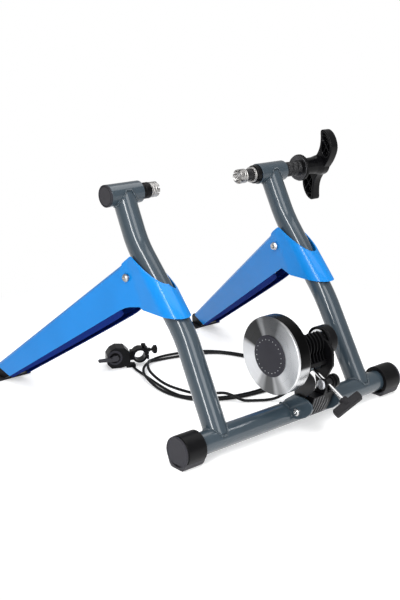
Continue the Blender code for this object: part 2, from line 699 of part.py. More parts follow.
plate_outline = arc(hinge_y, hinge_z, 9 * mm, 180, 360, 7)
plate_outline += [(y * mm, z * mm) for y, z in (
    (-15, 92), (-5, 121), (-50, 121), (-61, 115), (-67, 104), (-64, 92), (-54, 80), (-41, 70))]
plate = prism("unit_plate", plate_outline, -17 * mm, -14 * mm)
join(plate, cylinder_cutter(hinge_y, hinge_z, 8 * mm, -20 * mm + gap, -15 * mm, coarse))
join(plate, block("flange", (-15.5 * mm, -39 * mm, 118 * mm), (2 * mm, -8 * mm, 121 * mm)))
cut(plate, cylinder_cutter(hinge_y, hinge_z, hinge_radius + gap, -60 * mm, 80 * mm, coarse))
finish(plate, "black_metal", hinge)

finish(along_x("hinge_bolt",
               [(57 * mm, 0), (57 * mm, hinge_radius), (-24 * mm - gap, hinge_radius),
                (-24 * mm - gap, 7 * mm),
                (-26.4 * mm, 6.6 * mm), (-28 * mm, 4.6 * mm), (-28 * mm, 2.2 * mm), (-26.6 * mm, 2 * mm),
                (-26.6 * mm, 0)],
               hinge_y, hinge_z, coarse), "bright_steel", hinge)
nut_profile = [(52 * mm + gap, 0), (52 * mm + gap, 7.5 * mm), (58.5 * mm, 7.5 * mm), (58.5 * mm, 0)]
hinge_nut = along_x("hinge_nut", nut_profile, hinge_y, hinge_z, 6)
cut(hinge_nut, cylinder_cutter(hinge_y, hinge_z, hinge_radius + gap, 0, 80 * mm, coarse))
finish(hinge_nut, "bright_steel", hinge)

for label, start in (("near", near_cheek), ("far", far_cheek)):
    finish(along_x(label + "_bearing",
                   ring_profile(start, start + cheek_thickness, bearing_seat - gap, shaft_radius + gap,
                                0.6 * mm),
                   spin_y, spin_z, coarse), "bright_steel", spin_pivot)
shaft_start = flywheel_face + 1.5 * mm
roller_start = -29.5 * mm
roller_end = 40 * mm
finish(along_x("roller_shaft",
               [(shaft_start, 0), (shaft_start, shaft_radius), (roller_start, shaft_radius),
                (roller_start, roller_radius - 1 * mm), (roller_start + 1 * mm, roller_radius),
                (roller_end - 1 * mm, roller_radius), (roller_end, roller_radius - 1 * mm),
                (roller_end, shaft_radius), (66 * mm, shaft_radius), (66 * mm, 0)],
               spin_y, spin_z, medium), "bright_steel", spin_pivot)
body_front = flywheel_face + 5.3 * mm
recess = flywheel_back - 10 * mm
finish(along_x("flywheel_body",
               [(body_front, shaft_radius + gap), (body_front, flywheel_radius - 1 * mm),
                (body_front + 1 * mm, flywheel_radius), (flywheel_back - 2 * mm, flywheel_radius),
                (flywheel_back, flywheel_radius - 2 * mm), (flywheel_back, flywheel_radius - 9.5 * mm),
                (recess, flywheel_radius - 12.5 * mm), (recess, shaft_radius + 12 * mm),
                (flywheel_back, shaft_radius + 10 * mm), (flywheel_back, shaft_radius + gap)],
               spin_y, spin_z, fine), "black_metal", spin_pivot)
finish(along_x("flywheel_face",
               [(body_front - gap, shaft_radius + gap), (body_front - gap, flywheel_radius - 0.5 * mm),
                (flywheel_face + 1.4 * mm, flywheel_radius - 0.5 * mm),
                (flywheel_face + 0.6 * mm, flywheel_radius - 1.6 * mm),
                (flywheel_face, hub_radius - 1.5 * mm), (flywheel_face, shaft_radius + gap)],
               spin_y, spin_z, fine), "turned_silver", spin_pivot)
cap_back = flywheel_face - gap
finish(along_x("hub_cap",
               [(cap_back, 0), (cap_back, hub_radius), (cap_back - 1 * mm, hub_radius),
                (cap_back - 1.8 * mm, hub_radius - 1.3 * mm), (cap_back - 3 * mm, 0)],
               spin_y, spin_z, fine), "grey_plastic", spin_pivot)

drum_start = far_cheek + cheek_thickness + gap
finish(along_x("drum_shell",
               [(drum_start, drum_radius - 2 * mm), (drum_start, drum_radius),
                (drum_end - 3 * mm, drum_radius),
                (drum_end - 0.9 * mm, drum_radius - 0.9 * mm), (drum_end, drum_radius - 3 * mm),
                (drum_end, 5 * mm), (drum_end - 2 * mm, 5 * mm),
                (drum_end - 2 * mm, drum_radius - 2 * mm)],
               spin_y, spin_z, fine), "black_plastic", spin_pivot)
finish(along_x("brake_rotor",
               [(drum_start + 1 * mm, shaft_radius + gap), (drum_start + 1 * mm, 22 * mm),
                (drum_start + 3 * mm, 22 * mm), (drum_start + 3 * mm, 9 * mm),
                (drum_start + 7 * mm, 9 * mm),
                (drum_start + 7 * mm, shaft_radius + gap)],
               spin_y, spin_z), "bright_steel", spin_pivot)
finish(along_x("magnet_carrier",
               ring_profile(drum_start + 11 * mm, drum_start + 15 * mm, drum_radius - 2 * mm - gap,
                            11 * mm),
               spin_y, spin_z), "black_metal", spin_pivot)


# tension screw, its cross barrel and trunnion

rod_direction = Vector((0, trunnion_y - barrel_y, trunnion_z - barrel_z)).normalized()
barrel_at = Vector((rod_x, barrel_y, barrel_z))
barrel = along_x("cross_barrel",
                 [(5 * mm, 0), (5 * mm, 4 * mm), (10.3 * mm, 4 * mm), (10.3 * mm, 7 * mm),
                  (40.7 * mm, 7 * mm),
                  (40.7 * mm, 4 * mm), (46.5 * mm, 4 * mm), (46.5 * mm, 0)],
                 barrel_y, barrel_z, coarse)
cut(barrel, lathe("cutter", [(-20 * mm, 0), (-20 * mm, rod_radius + gap), (20 * mm, rod_radius + gap),
                             (20 * mm, 0)], barrel_at, rod_direction, coarse))
finish(barrel, "zinc_plate", (0, barrel_y, barrel_z))
finish(lathe("tension_rod", [(-9 * mm, 0), (-9 * mm, rod_radius), (knob_reach - 8 * mm, rod_radius),
                             (knob_reach - 8 * mm, 0)], barrel_at, rod_direction, coarse),
       "bright_steel", barrel_at)
knob_at = barrel_at + rod_direction * knob_reach
knob_half = knob_thickness / 2
knob_turn = Matrix.Rotation(math.radians(knob_twist), 4, "Z")
knob = block("tension_knob", (-knob_half, -knob_bar / 2, -knob_half), (knob_half, knob_bar / 2, knob_half))
soften(knob, 3 * mm, 40, 2)
join(knob, lathe("collar", [(-knob_half - 6 * mm, 0), (-knob_half - 6 * mm, 8 * mm), (0, 9 * mm), (0, 0)],
                 (0, 0, 0), (0, 0, 1), coarse))
cut(knob, lathe("cutter", [(-30 * mm, 0), (-30 * mm, rod_radius + gap), (-8 * mm + gap, rod_radius + gap),
                           (-8 * mm + gap, 0)], (0, 0, 0), (0, 0, 1), coarse))
knob_frame = Matrix((Vector((1, 0, 0)), rod_direction.cross(Vector((1, 0, 0))), rod_direction)).transposed()
knob.data.transform(Matrix.Translation(knob_at) @ knob_frame.to_4x4() @ knob_turn)
finish(knob, "black_plastic", barrel_at)

trunnion_pivot = (0, trunnion_y, trunnion_z)
trunnion = along_x("trunnion_block",
                   [(16 * mm, 0), (16 * mm, 8 * mm), (31 * mm, 8 * mm), (31 * mm, 3.5 * mm),
                    (42 * mm, 3.5 * mm), (42 * mm, 0)], trunnion_y, trunnion_z, coarse)
rod_hole = rod_radius + 0.8 * mm
cut(trunnion, lathe("cutter", [(-20 * mm, 0), (-20 * mm, rod_hole), (20 * mm, rod_hole), (20 * mm, 0)],
                    (rod_x, trunnion_y, trunnion_z), rod_direction, coarse))
finish(trunnion, "black_metal", trunnion_pivot)
finish(along_x("trunnion_screw",
               [(15.7 * mm, 0), (15.7 * mm, 3.5 * mm), (10 * mm - gap, 3.5 * mm), (10 * mm - gap, 9.4 * mm),
                (8.2 * mm, 9 * mm), (6.8 * mm, 6.5 * mm), (6.8 * mm, 0)],
               trunnion_y, trunnion_z, coarse), "bright_steel", trunnion_pivot)
finish(along_x("round_boss",
               [(arm_high + gap, 3.5 * mm + gap), (arm_high + gap, 12.5 * mm), (44 * mm, 12.5 * mm),
                (46 * mm, 10.5 * mm), (46 * mm, 0), (42.3 * mm, 0), (42.3 * mm, 3.5 * mm + gap)],
               trunnion_y, trunnion_z, medium), "black_plastic", trunnion_pivot)


# cable gland and cable

gland_direction = Vector((1, 0, 0))
gland_base = Vector((drum_end + gap, spin_y + 10 * mm, spin_z - 12 * mm))
gland_length = 14 * mm
gland_profile = [(0, 0), (0, 5.5 * mm), (6 * mm, 5.5 * mm), (gland_length, 4 * mm), (gland_length, 0)]
finish(lathe("cable_gland", gland_profile, gland_base, gland_direction, coarse), "black_plastic", hinge)


# shifter

shifter_turned = Matrix.Rotation(shifter_turn, 4, "Z")
shifter_place = Matrix.Translation((shifter_x, shifter_y, 0)) @ shifter_turned


def shifter_prism(name, outline, near, far):
    # outline of (along, height) points, extruded across the shifter
    made = prism(name, [(-along * mm, height * mm) for along, height in outline], near * mm, far * mm)
    made.data.transform(Matrix.Rotation(math.pi / 2, 4, "Z"))
    return made


def shifter_lathe(name, profile, along, across, height, axis, steps=coarse):
    profile = [(a * mm, r * mm) for a, r in profile]
    return lathe(name, profile, (along * mm, across * mm, height * mm), axis, steps)


def shifter_finish(target, material, point=(0, 0, 0)):
    target.data.transform(shifter_place)
    finish(target, material, shifter_place @ (Vector(point) * mm))


body = shifter_prism("shifter_body", [(-24, 10), (-15, 0.3), (5, 0.3), (22, 5), (26, 18), (24, 33),
                                      (13, 44), (-5, 45.5), (-16, 40), (-24, 29)], -17, 17)
soften(body, 2.5 * mm, 30, 2)
tail = shifter_prism("tail", [(16, 0.3), (36, 0.3), (36, 6.6), (16, 9)], -17.5, -2)
join(body, tail)
cut(body, shifter_lathe("cutter", [(-30, 0), (-30, 3.3), (-9, 3.3), (-9, 0)], -8, 0, 25, (0, 1, 0)))
shifter_finish(body, "black_plastic")
shifter_finish(shifter_lathe("shifter_ring", [(-19.5, 11), (-19.5, 15.5), (-17.3, 15.5), (-17.3, 11)],
                             -8, 0, 25, (0, 1, 0), medium), "light_plastic")
lever = shifter_prism("shifter_lever", [(-44, 21), (-42, 19.5), (-14, 19.5), (-3, 20), (0, 25), (-3, 31),
                                        (-12, 31), (-16, 27), (-42, 25.5), (-44, 24)], -27, -19.8)
soften(lever, 1 * mm)
join(lever, shifter_lathe("stem", [(-21, 0), (-21, 3), (-9.3, 3), (-9.3, 0)], -8, 0, 25, (0, 1, 0)))
shifter_finish(lever, "grey_plastic", (-8, 0, 25))
clamp = shifter_lathe("shifter_clamp", [(-12, 11.3), (-12, 15), (-11, 16), (11, 16), (12, 15), (12, 11.3)],
                      46, 0, 23, (0, 1, 0), medium)
ears = shifter_prism("ears", [(58.5, 29.5), (53, 36), (62, 39), (66, 34), (66, 12), (60, 14)], -9, 9)
join(clamp, ears)
neck = shifter_prism("neck", [(26.3, 13), (26.3, 33), (35, 33), (35, 13)], -8, 8)
join(clamp, neck)
bar_hole = [(-30, 0), (-30, 11.3), (30, 11.3), (30, 0)]
cut(clamp, shifter_lathe("cutter", bar_hole, 46, 0, 23, (0, 1, 0), medium),
    shifter_prism("split", [(50, 21.6), (80, 21.6), (80, 24.4), (50, 24.4)], -20, 20))
knob_profile = [(-2, 0), (-2, 2.5), (3, 2.5), (3, 5), (8, 5), (8, 0)]
join(clamp, shifter_lathe("knob", knob_profile, 55, 0, 37.6, (0, 0, 1)))
shifter_finish(clamp, "black_plastic")
screw = shifter_lathe("thumb_screw", [(66.3, 0), (66.3, 4.5), (69, 4.5), (69, 3), (74, 3), (74, 6), (78, 6),
                                      (78, 0)], 0, 0, 31, (1, 0, 0), coarse)
wing = shifter_prism("wing", [(76, 22), (83, 22), (85, 27), (85, 35), (83, 40), (76, 40)], -3, 3)
soften(wing, 1 * mm)
join(screw, wing)
shifter_finish(screw, "black_plastic", (66, 0, 31))


cable_start = shifter_place @ Vector((30 * mm, -17.5 * mm - gap, 3.3 * mm))
cable_away = shifter_turned @ Vector((0, -1, 0))
cable_end = gland_base + gland_direction * (gland_length + gap)
floor = cable_radius + 0.4 * mm
over = floor + 2 * cable_radius + 0.6 * mm
top = over + 2 * cable_radius + 0.6 * mm
route = [cable_start + cable_away * 6 * mm]
route += [Vector((x * mm, y * mm, z)) for x, y, z in (
    (-50, 388, floor), (-70, 262, floor), (-53, 212, floor), (-8, 176, floor),
    (52, 160, floor), (112, 165, floor), (162, 205, floor), (184, 268, floor), (176, 330, floor),
    (136, 388, floor), (24, 424, floor), (-24, 404, over), (-60, 362, over),
    (-76, 300, floor), (-77, 250, floor), (-58, 202, floor), (-10, 167, floor),
    (52, 150, floor), (115, 152, floor), (170, 196, floor), (192, 264, floor), (184, 332, floor),
    (146, 396, floor), (84, 430, floor), (20, 434, floor), (-24, 396, top), (-52, 352, top),
    (-60, 300, over), (-58, 250, over), (-42, 205, over), (-14, 168, top), (10, 138, floor),
    (40, 115, floor), (64, 99, 9 * mm), (90, 76, 36 * mm), (108, 49, 78 * mm), (115, 23, 116 * mm),
    (109, 4, 136 * mm))]
route += [cable_end + gland_direction * 6 * mm]
dense = [Vector((place.x, place.y, max(place.z, floor))) for place in smooth_path(route, 12)]
lengths = [0.0]
for before, after in zip(dense, dense[1:]):
    lengths.append(lengths[-1] + (after - before).length)
cable_points = 78
points = [cable_start]
where = 0
for index in range(cable_points):
    target = lengths[-1] * index / (cable_points - 1)
    while where < len(dense) - 2 and lengths[where + 1] < target:
        where += 1
    part = (target - lengths[where]) / (lengths[where + 1] - lengths[where])
    points.append(dense[where].lerp(dense[where + 1], part))
points.append(cable_end)
curve = bpy.data.curves.new("shift_cable", "CURVE")
curve.dimensions = "3D"
curve.bevel_depth = cable_radius
curve.bevel_resolution = 2
curve.use_fill_caps = True
curve.resolution_u = 1
line = curve.splines.new("POLY")
line.points.add(len(points) - 1)
for point, place in zip(line.points, points):
    point.co = (*place, 1)
curve.materials.append(slot("cable_black"))
cable = bpy.data.objects.new("shift_cable", curve)
bpy.context.collection.objects.link(cable)


# the origin goes under the middle of the whole trainer's box

bpy.context.view_layer.update()
corners = []
for item in bpy.data.objects:
    if item.type == "MESH":
        corners += [item.matrix_world @ vert.co for vert in item.data.vertices]
centre_x = (min(point.x for point in corners) + max(point.x for point in corners)) / 2
centre_y = (min(point.y for point in corners) + max(point.y for point in corners)) / 2
for item in bpy.data.objects:
    item.location -= Vector((centre_x, centre_y, 0))
bpy.context.view_layer.update()
print("origin shift in mm", round(centre_x / mm, 3), round(centre_y / mm, 3))
print("cable length in mm", round(lengths[-1] / mm))
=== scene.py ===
import math
import bpy
import bmesh
from mathutils import Matrix, Vector


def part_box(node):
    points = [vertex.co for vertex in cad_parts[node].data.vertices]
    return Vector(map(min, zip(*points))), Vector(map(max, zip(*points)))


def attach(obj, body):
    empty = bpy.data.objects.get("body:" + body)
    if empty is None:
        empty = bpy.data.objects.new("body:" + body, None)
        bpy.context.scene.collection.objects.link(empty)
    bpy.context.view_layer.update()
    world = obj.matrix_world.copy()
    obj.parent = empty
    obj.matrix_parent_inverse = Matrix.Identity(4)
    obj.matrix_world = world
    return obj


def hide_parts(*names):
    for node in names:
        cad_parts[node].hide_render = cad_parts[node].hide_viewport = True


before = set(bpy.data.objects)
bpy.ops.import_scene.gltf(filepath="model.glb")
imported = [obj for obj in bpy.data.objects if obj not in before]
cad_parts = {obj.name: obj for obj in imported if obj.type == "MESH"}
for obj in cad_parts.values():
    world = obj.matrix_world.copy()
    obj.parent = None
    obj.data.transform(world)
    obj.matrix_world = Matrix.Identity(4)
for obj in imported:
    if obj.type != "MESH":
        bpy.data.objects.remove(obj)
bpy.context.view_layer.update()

tubeLow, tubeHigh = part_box("cross_tube")
home = (tubeLow + tubeHigh) / 2  # every measure below is in millimetres from here, on the floor
home.z = 0
mm = 0.001
toFrame = Matrix.Translation(home) @ Matrix.Diagonal((mm, mm, mm, 1))
bothSides = (("left", -1), ("right", 1))


# camera

# clip is in metres
view = {"spot": (-1218.1, -1160.7, 736.4), "tilt": 73.41, "turn": -40.65, "lens": 60, "sensor": 36,
        "clip": 0.02}


def inScene(name, data):
    made = bpy.data.objects.new(name, data)
    bpy.context.scene.collection.objects.link(made)
    return made


def makeCamera(values):
    data = bpy.data.cameras.new("camera")
    data.sensor_fit = "VERTICAL"
    data.sensor_height = values["sensor"]
    data.lens = values["lens"]
    data.clip_start = values["clip"]
    made = inScene("camera", data)
    made.location = toFrame @ Vector(values["spot"])
    made.rotation_euler = (math.radians(values["tilt"]), 0, math.radians(values["turn"]))
    bpy.context.scene.camera = made


makeCamera(view)


# materials

def feed(tree, node, wires):
    # each input takes a link or a value
    for key, source in wires.items():
        if isinstance(source, bpy.types.NodeSocket):
            tree.links.new(source, node.inputs[key])
        else:
            node.inputs[key].default_value = source


def linked(tree, kind, wires=None, **settings):
    node = tree.nodes.new(kind)
    for key, value in settings.items():
        setattr(node, key, value)
    feed(tree, node, wires or {})
    return node.outputs


def nodesOf(name):
    made = bpy.data.materials.new(name)
    made.use_nodes = True
    tree = made.node_tree
    return made, tree, tree.nodes["Principled BSDF"]


def rampBetween(tree, source, stops):
    ramp = tree.nodes.new("ShaderNodeValToRGB")
    line = ramp.color_ramp
    while len(line.elements) < len(stops):
        line.elements.new(0.5)
    for element, (where, colour) in zip(line.elements, stops):
        element.position = where
        element.color = (*colour, 1)
    tree.links.new(source, ramp.inputs["Fac"])
    return ramp.outputs["Color"]


def scaled(colour, amount):
    return tuple(min(1.0, part * amount) for part in colour)


def polish(tree, shader, height, clouds, look):
    # a fine bump and an uneven gloss
    bump = linked(tree, "ShaderNodeBump", {"Strength": look["bump"], "Distance": look["depth"],
                                           "Height": height})
    gloss = linked(tree, "ShaderNodeMapRange", {"To Min": look["rough"] - look["uneven"],
                                                "To Max": look["rough"] + look["uneven"], "Value": clouds})
    feed(tree, shader, {"Roughness": gloss["Result"], "Normal": bump["Normal"], "Metallic": look["metal"]})


def surface(name, look):
    # cloudy colour, uneven gloss and a fine bump, all on Object coordinates
    made, tree, shader = nodesOf(name)
    place = linked(tree, "ShaderNodeTexCoord")["Object"]
    cloud = linked(tree, "ShaderNodeTexNoise", {"Vector": place, "Scale": look["cloud"], "Detail": 4})["Fac"]
    grain = linked(tree, "ShaderNodeTexNoise", {"Vector": place, "Scale": look["grain"], "Detail": 2})["Fac"]
    dark, pale = (scaled(look["colour"], 1 + way * look["spread"]) for way in (-1, 1))
    tint = rampBetween(tree, cloud, ((0.3, dark), (0.7, pale)))
    if look["speckle"]:
        dots = rampBetween(tree, grain, ((0.35, (0.6,) * 3), (0.65, (1.0,) * 3)))
        tint = linked(tree, "ShaderNodeMix", {"Factor": look["speckle"], "A": tint, "B": dots},
                      data_type="RGBA", blend_type="MULTIPLY")["Result"]
    polish(tree, shader, grain, cloud, look)
    feed(tree, shader, {"Base Color": tint, "Specular IOR Level": look["shine"], "Coat Weight": look["coat"],
                        "Coat Roughness": look["coatRough"]})
    made.diffuse_color = (*look["colour"], 1)
    return made


def turnedFinish(name, look):
    # turned metal: fine rings round the axle in the bump and gloss, and broad pale and dark sectors painted
    # into the colour as painted reflections
    made, tree, shader = nodesOf(name)
    axle = toFrame @ Vector((0, *look["axle"]))
    centre = linked(tree, "ShaderNodeMapping", {"Vector": linked(tree, "ShaderNodeTexCoord")["Object"],
                                                "Location": (0, -axle.y, -axle.z),
                                                "Scale": (0, 1, 1)})["Vector"]
    parts = linked(tree, "ShaderNodeSeparateXYZ", {"Vector": centre})
    angle = linked(tree, "ShaderNodeMath", {0: parts["Z"], 1: parts["Y"]}, operation="ARCTAN2")
    around = linked(tree, "ShaderNodeMapRange", {"From Min": -math.pi, "From Max": math.pi,
                                                 "Value": angle["Value"]})
    stops = sorted(((turn % 360) / 360, (level, level * 1.01, level * 1.03))
                   for turn, level in look["sectors"])
    reach = linked(tree, "ShaderNodeVectorMath", {0: centre}, operation="LENGTH")
    rings = linked(tree, "ShaderNodeTexNoise", {"W": reach["Value"], "Scale": look["rings"], "Detail": 3},
                   noise_dimensions="1D")["Fac"]
    polish(tree, shader, rings, rings, look)
    feed(tree, shader, {"Base Color": rampBetween(tree, around["Result"], stops)})
    return made


# what a look leaves out is taken from here
plain = {"cloud": 18, "grain": 900, "spread": 0.12, "speckle": 0, "bump": 0.15, "depth": 0.0002,
         "uneven": 0.06, "metal": 0.0, "shine": 0.5, "coat": 0.0, "coatRough": 0.1}
looks = {
    "slatePaint": {"slot": "slate_paint", "colour": (0.029, 0.047, 0.063), "rough": 0.46, "metal": 0.1,
                   "coat": 1.0, "coatRough": 0.09, "shine": 0.3, "bump": 0.04, "speckle": 0.06,
                   "spread": 0.04},
    "bluePaint": {"slot": "blue_paint", "colour": (0.0025, 0.205, 0.610), "rough": 0.50, "coat": 0.60,
                  "coatRough": 0.20, "shine": 0.04, "grain": 380, "bump": 0.05, "spread": 0.06, "cloud": 9},
    # painted shade: dark navy for the faces of the blue legs that lie in shade
    "shadeNavyPaint": {"slot": "blue_paint", "colour": (0.003, 0.018, 0.150), "rough": 0.60, "shine": 0.05,
                  "grain": 380, "bump": 0.05},
    "blackPlastic": {"slot": "black_plastic", "colour": (0.0040, 0.0040, 0.0046), "rough": 0.34,
                     "shine": 0.12, "grain": 1300, "bump": 0.22, "spread": 0.2},
    "glossBlack": {"slot": "black_plastic", "colour": (0.0030, 0.0030, 0.0036), "rough": 0.20, "shine": 0.15,
                   "grain": 500, "bump": 0.08, "spread": 0.2},
    "rubber": {"slot": "black_rubber", "colour": (0.0120, 0.0115, 0.0135), "rough": 0.70, "shine": 0.25,
               "grain": 1500, "bump": 0.40, "spread": 0.25},
    "greyPlastic": {"slot": "grey_plastic", "colour": (0.0230, 0.0225, 0.0290), "rough": 0.52, "shine": 0.25,
                    "grain": 1400, "bump": 0.30},
    "padGrey": {"slot": "black_rubber", "colour": (0.0300, 0.0290, 0.0340), "rough": 0.55, "shine": 0.3,
                "grain": 1500, "bump": 0.35, "spread": 0.18},
    # painted highlight: a pale grey that stands in for light on the edges of the black fins
    "finHighlightGrey": {"slot": "black_plastic", "colour": (0.1100, 0.1100, 0.1180), "rough": 0.40, "bump": 0.2},
    "lightPlastic": {"slot": "light_plastic", "colour": (0.3600, 0.3700, 0.3800), "rough": 0.40},
    "brightSteel": {"slot": "bright_steel", "colour": (0.6000, 0.6050, 0.6100), "rough": 0.24, "metal": 1.0,
                    "grain": 700, "bump": 0.10, "spread": 0.18, "cloud": 60},
    "mottledSteel": {"slot": "bright_steel", "colour": (0.4600, 0.4500, 0.4400), "rough": 0.34, "metal": 1.0,
                     "grain": 420, "bump": 0.55, "depth": 0.0008, "spread": 0.45, "cloud": 260,
                     "speckle": 0.5},
    "darkSteel": {"slot": "bright_steel", "colour": (0.0900, 0.0900, 0.0950), "rough": 0.36, "metal": 1.0,
                  "grain": 420, "bump": 0.40, "depth": 0.0006, "spread": 0.35, "cloud": 260},
    "zincPlate": {"slot": "zinc_plate", "colour": (0.5800, 0.5900, 0.6200), "rough": 0.40, "metal": 0.85,
                  "grain": 800, "cloud": 45},
    "greyBarrel": {"slot": "zinc_plate", "colour": (0.2600, 0.3000, 0.3300), "rough": 0.36, "metal": 0.9,
                   "grain": 700},
    "blackMetal": {"slot": "black_metal", "colour": (0.0130, 0.0130, 0.0145), "rough": 0.32, "metal": 0.3,
                   "grain": 600, "bump": 0.12},
    "cableBlack": {"slot": "cable_black", "colour": (0.0040, 0.0040, 0.0046), "rough": 0.42, "shine": 0.2,
                   "grain": 1200, "bump": 0.10},
}
# sectors are painted reflections, given as (degrees round the axle from the front, brightness); 90 is down
# and 270 is up
turnedLooks = {
    # painted reflections: dark and pale sectors in the colour of the turned face
    "turnedSilver": {
        "slot": "turned_silver", "axle": (-12, 154), "rough": 0.30, "metal": 1.0, "rings": 2600, "bump": 0.08,
        "sectors": ((0, 0.84), (50, 0.80), (62, 0.34), (68, 0.26), (75, 0.40), (82, 0.10), (99, 0.09),
                    (106, 0.26), (113, 0.28), (121, 0.58), (165, 0.64), (188, 0.52), (197, 0.04), (236, 0.04),
                    (243, 0.30), (248, 0.36), (254, 0.18), (284, 0.20), (292, 0.42), (318, 0.60), (340, 0.78),
                    (359.5, 0.84))},
    # painted reflection: the rim is pale on its lower half, where it would mirror the white floor, and dark
    # above
    "polishedRim": {
        "slot": "black_metal", "axle": (-12, 154), "rough": 0.24, "metal": 1.0, "rings": 2600, "bump": 0.03,
        "sectors": ((0, 0.012), (5, 0.014), (9, 0.50), (30, 0.62), (90, 0.55), (150, 0.50), (172, 0.40),
                    (178, 0.012), (270, 0.010))},
}
paints = {name: surface(name, {**plain, **look}) for name, look in looks.items()}
paints.update((name, turnedFinish(name, {**plain, **look})) for name, look in turnedLooks.items())
print("materials ready:", len(paints))


# shapes are made in millimetres and set in the frame when they are finished

def asObject(name, bm):
    bmesh.ops.remove_doubles(bm, verts=bm.verts, dist=0.004)
    bmesh.ops.recalc_face_normals(bm, faces=bm.faces)
    mesh = bpy.data.meshes.new(name)
    bm.to_mesh(mesh)
    bm.free()
    return inScene(name, mesh)


def filleted(points, size, steps=4):
    # rounds the corners of a closed outline; a third number is that corner's own radius
    result = []
    for index, point in enumerate(points):
        before = Vector(points[index - 1][:2])
        here = Vector(point[:2])
        after = Vector(points[(index + 1) % len(points)][:2])
        radius = point[2] if len(point) > 2 else size
        back = before - here
        ahead = after - here
        if radius <= 0 or min(back.length, ahead.length) < 0.001 or back.angle(ahead) > math.radians(177):
            result.append(here)
            continue
        reach = min(radius / math.tan(back.angle(ahead) / 2), back.length * 0.48, ahead.length * 0.48)
        start = here + back.normalized() * reach
        end = here + ahead.normalized() * reach
        for step in range(steps + 1):
            t = step / steps
            result.append(start * (1 - t) ** 2 + here * 2 * t * (1 - t) + end * t * t)
    return [(point.x, point.y) for point in result]


def lathe(name, profile, centre, axis, sides=48):
    # profile is a closed loop of (along the axis, radius)
    bm = bmesh.new()
    ring = [bm.verts.new((radius, 0, along)) for along, radius in profile]
    for index, vert in enumerate(ring):
        bm.edges.new((vert, ring[(index + 1) % len(ring)]))
    bmesh.ops.spin(bm, geom=list(bm.verts) + list(bm.edges), cent=(0, 0, 0), axis=(0, 0, 1),
                   angle=2 * math.pi, steps=sides, use_merge=True)
    turn = Vector((0, 0, 1)).rotation_difference(Vector(axis)).to_matrix().to_4x4()
    bm.transform(Matrix.Translation(Vector(centre)) @ turn)
    return asObject(name, bm)


def softLathe(name, profile, centre, axis, soft, sides):
    # a lathe with the corners off its axis rounded
    points = [(point[0], point[1], 0) if point[1] <= 0 else point for point in profile]
    return lathe(name, filleted(points, soft, 3), centre, axis, sides)


def turned(name, profile, y, z, soft=0.5, sides=48):
    return softLathe(name, profile, (0, y, z), (1, 0, 0), soft, sides)


def roundBar(start, end, radius, centre, axis, sides=32):
    # plain bar, also used as a cutter
    return lathe("bar", [(start, 0), (start, radius), (end, radius), (end, 0)], centre, axis, sides)


def rod(name, start, end, radius, y, z, sides=48):
    return turned(name, [(start, 0), (start, radius), (end, radius), (end, 0)], y, z, 0, sides)


def ringOf(start, end, outer, inner):
    return [(start, inner), (start, outer), (end, outer), (end, inner)]


def mirrored(sign, profile, base=0):
    return [(base + sign * x, *rest) for x, *rest in profile]


def groove(start, end, radius, depth, slope=0.6, soft=0.2):
    # a shallow ring in a turned piece
    return [(start, radius, 0.3), (start + slope, radius - depth, soft), (end - slope, radius - depth, soft),
            (end, radius, 0.3)]


def extruded(bm, loop, way):
    face = bm.faces.new([bm.verts.new(point) for point in loop])
    grown = bmesh.ops.extrude_face_region(bm, geom=[face])
    moved = [item for item in grown["geom"] if isinstance(item, bmesh.types.BMVert)]
    bmesh.ops.translate(bm, verts=moved, vec=way)


def band(bm, first, second):
    # faces between two closed rings of points
    for index in range(len(first)):
        after = (index + 1) % len(first)
        bm.faces.new((first[index], first[after], second[after], second[index]))


def prism(name, outline, start, end):
    bm = bmesh.new()
    extruded(bm, [(start, point[0], point[1]) for point in outline], (end - start, 0, 0))
    return asObject(name, bm)


def block(name, low, high):
    bm = bmesh.new()
    bmesh.ops.create_cube(bm, size=1)
    low = Vector(low)
    high = Vector(high)
    bmesh.ops.scale(bm, verts=bm.verts, vec=high - low)
    bmesh.ops.translate(bm, verts=bm.verts, vec=(low + high) / 2)
    return asObject(name, bm)


def applied(target):
    bpy.context.view_layer.update()
    shaped = target.evaluated_get(bpy.context.evaluated_depsgraph_get())
    mesh = bpy.data.meshes.new_from_object(shaped)
    target.modifiers.clear()
    target.data = mesh
    return target


def combine(target, others, operation):
    for other in others:
        step = target.modifiers.new("combine", "BOOLEAN")
        step.operation = operation
        step.solver = "EXACT"
        step.object = other
        applied(target)
        bpy.data.objects.remove(other, do_unlink=True)
    return target


def cut(target, *others):
    return combine(target, others, "DIFFERENCE")


def join(target, *others):
    return combine(target, others, "UNION")


def merge(target, *others):
    # several closed bodies in one mesh
    bm = bmesh.new()
    for item in (target, *others):
        bm.from_mesh(item.data)
    bm.to_mesh(target.data)
    bm.free()
    for other in others:
        bpy.data.objects.remove(other, do_unlink=True)
    return target


def rounded(target, width, segments=3, angle=30):
    step = target.modifiers.new("round", "BEVEL")
    step.width = width
    step.segments = segments
    step.limit_method = "ANGLE"
    step.angle_limit = math.radians(angle)
    return applied(target)


def softened(target, voxel, rounds):
    # even voxel skin, relaxed, so every edge comes out rounded as a moulding
    remesh = target.modifiers.new("skin", "REMESH")
    remesh.mode = "VOXEL"
    remesh.voxel_size = voxel
    relax = target.modifiers.new("relax", "SMOOTH")
    relax.factor = 0.5
    relax.iterations = rounds
    return applied(target)


def shifted(target, *move):
    target.data.transform(Matrix.Translation(Vector(move)))
    return target


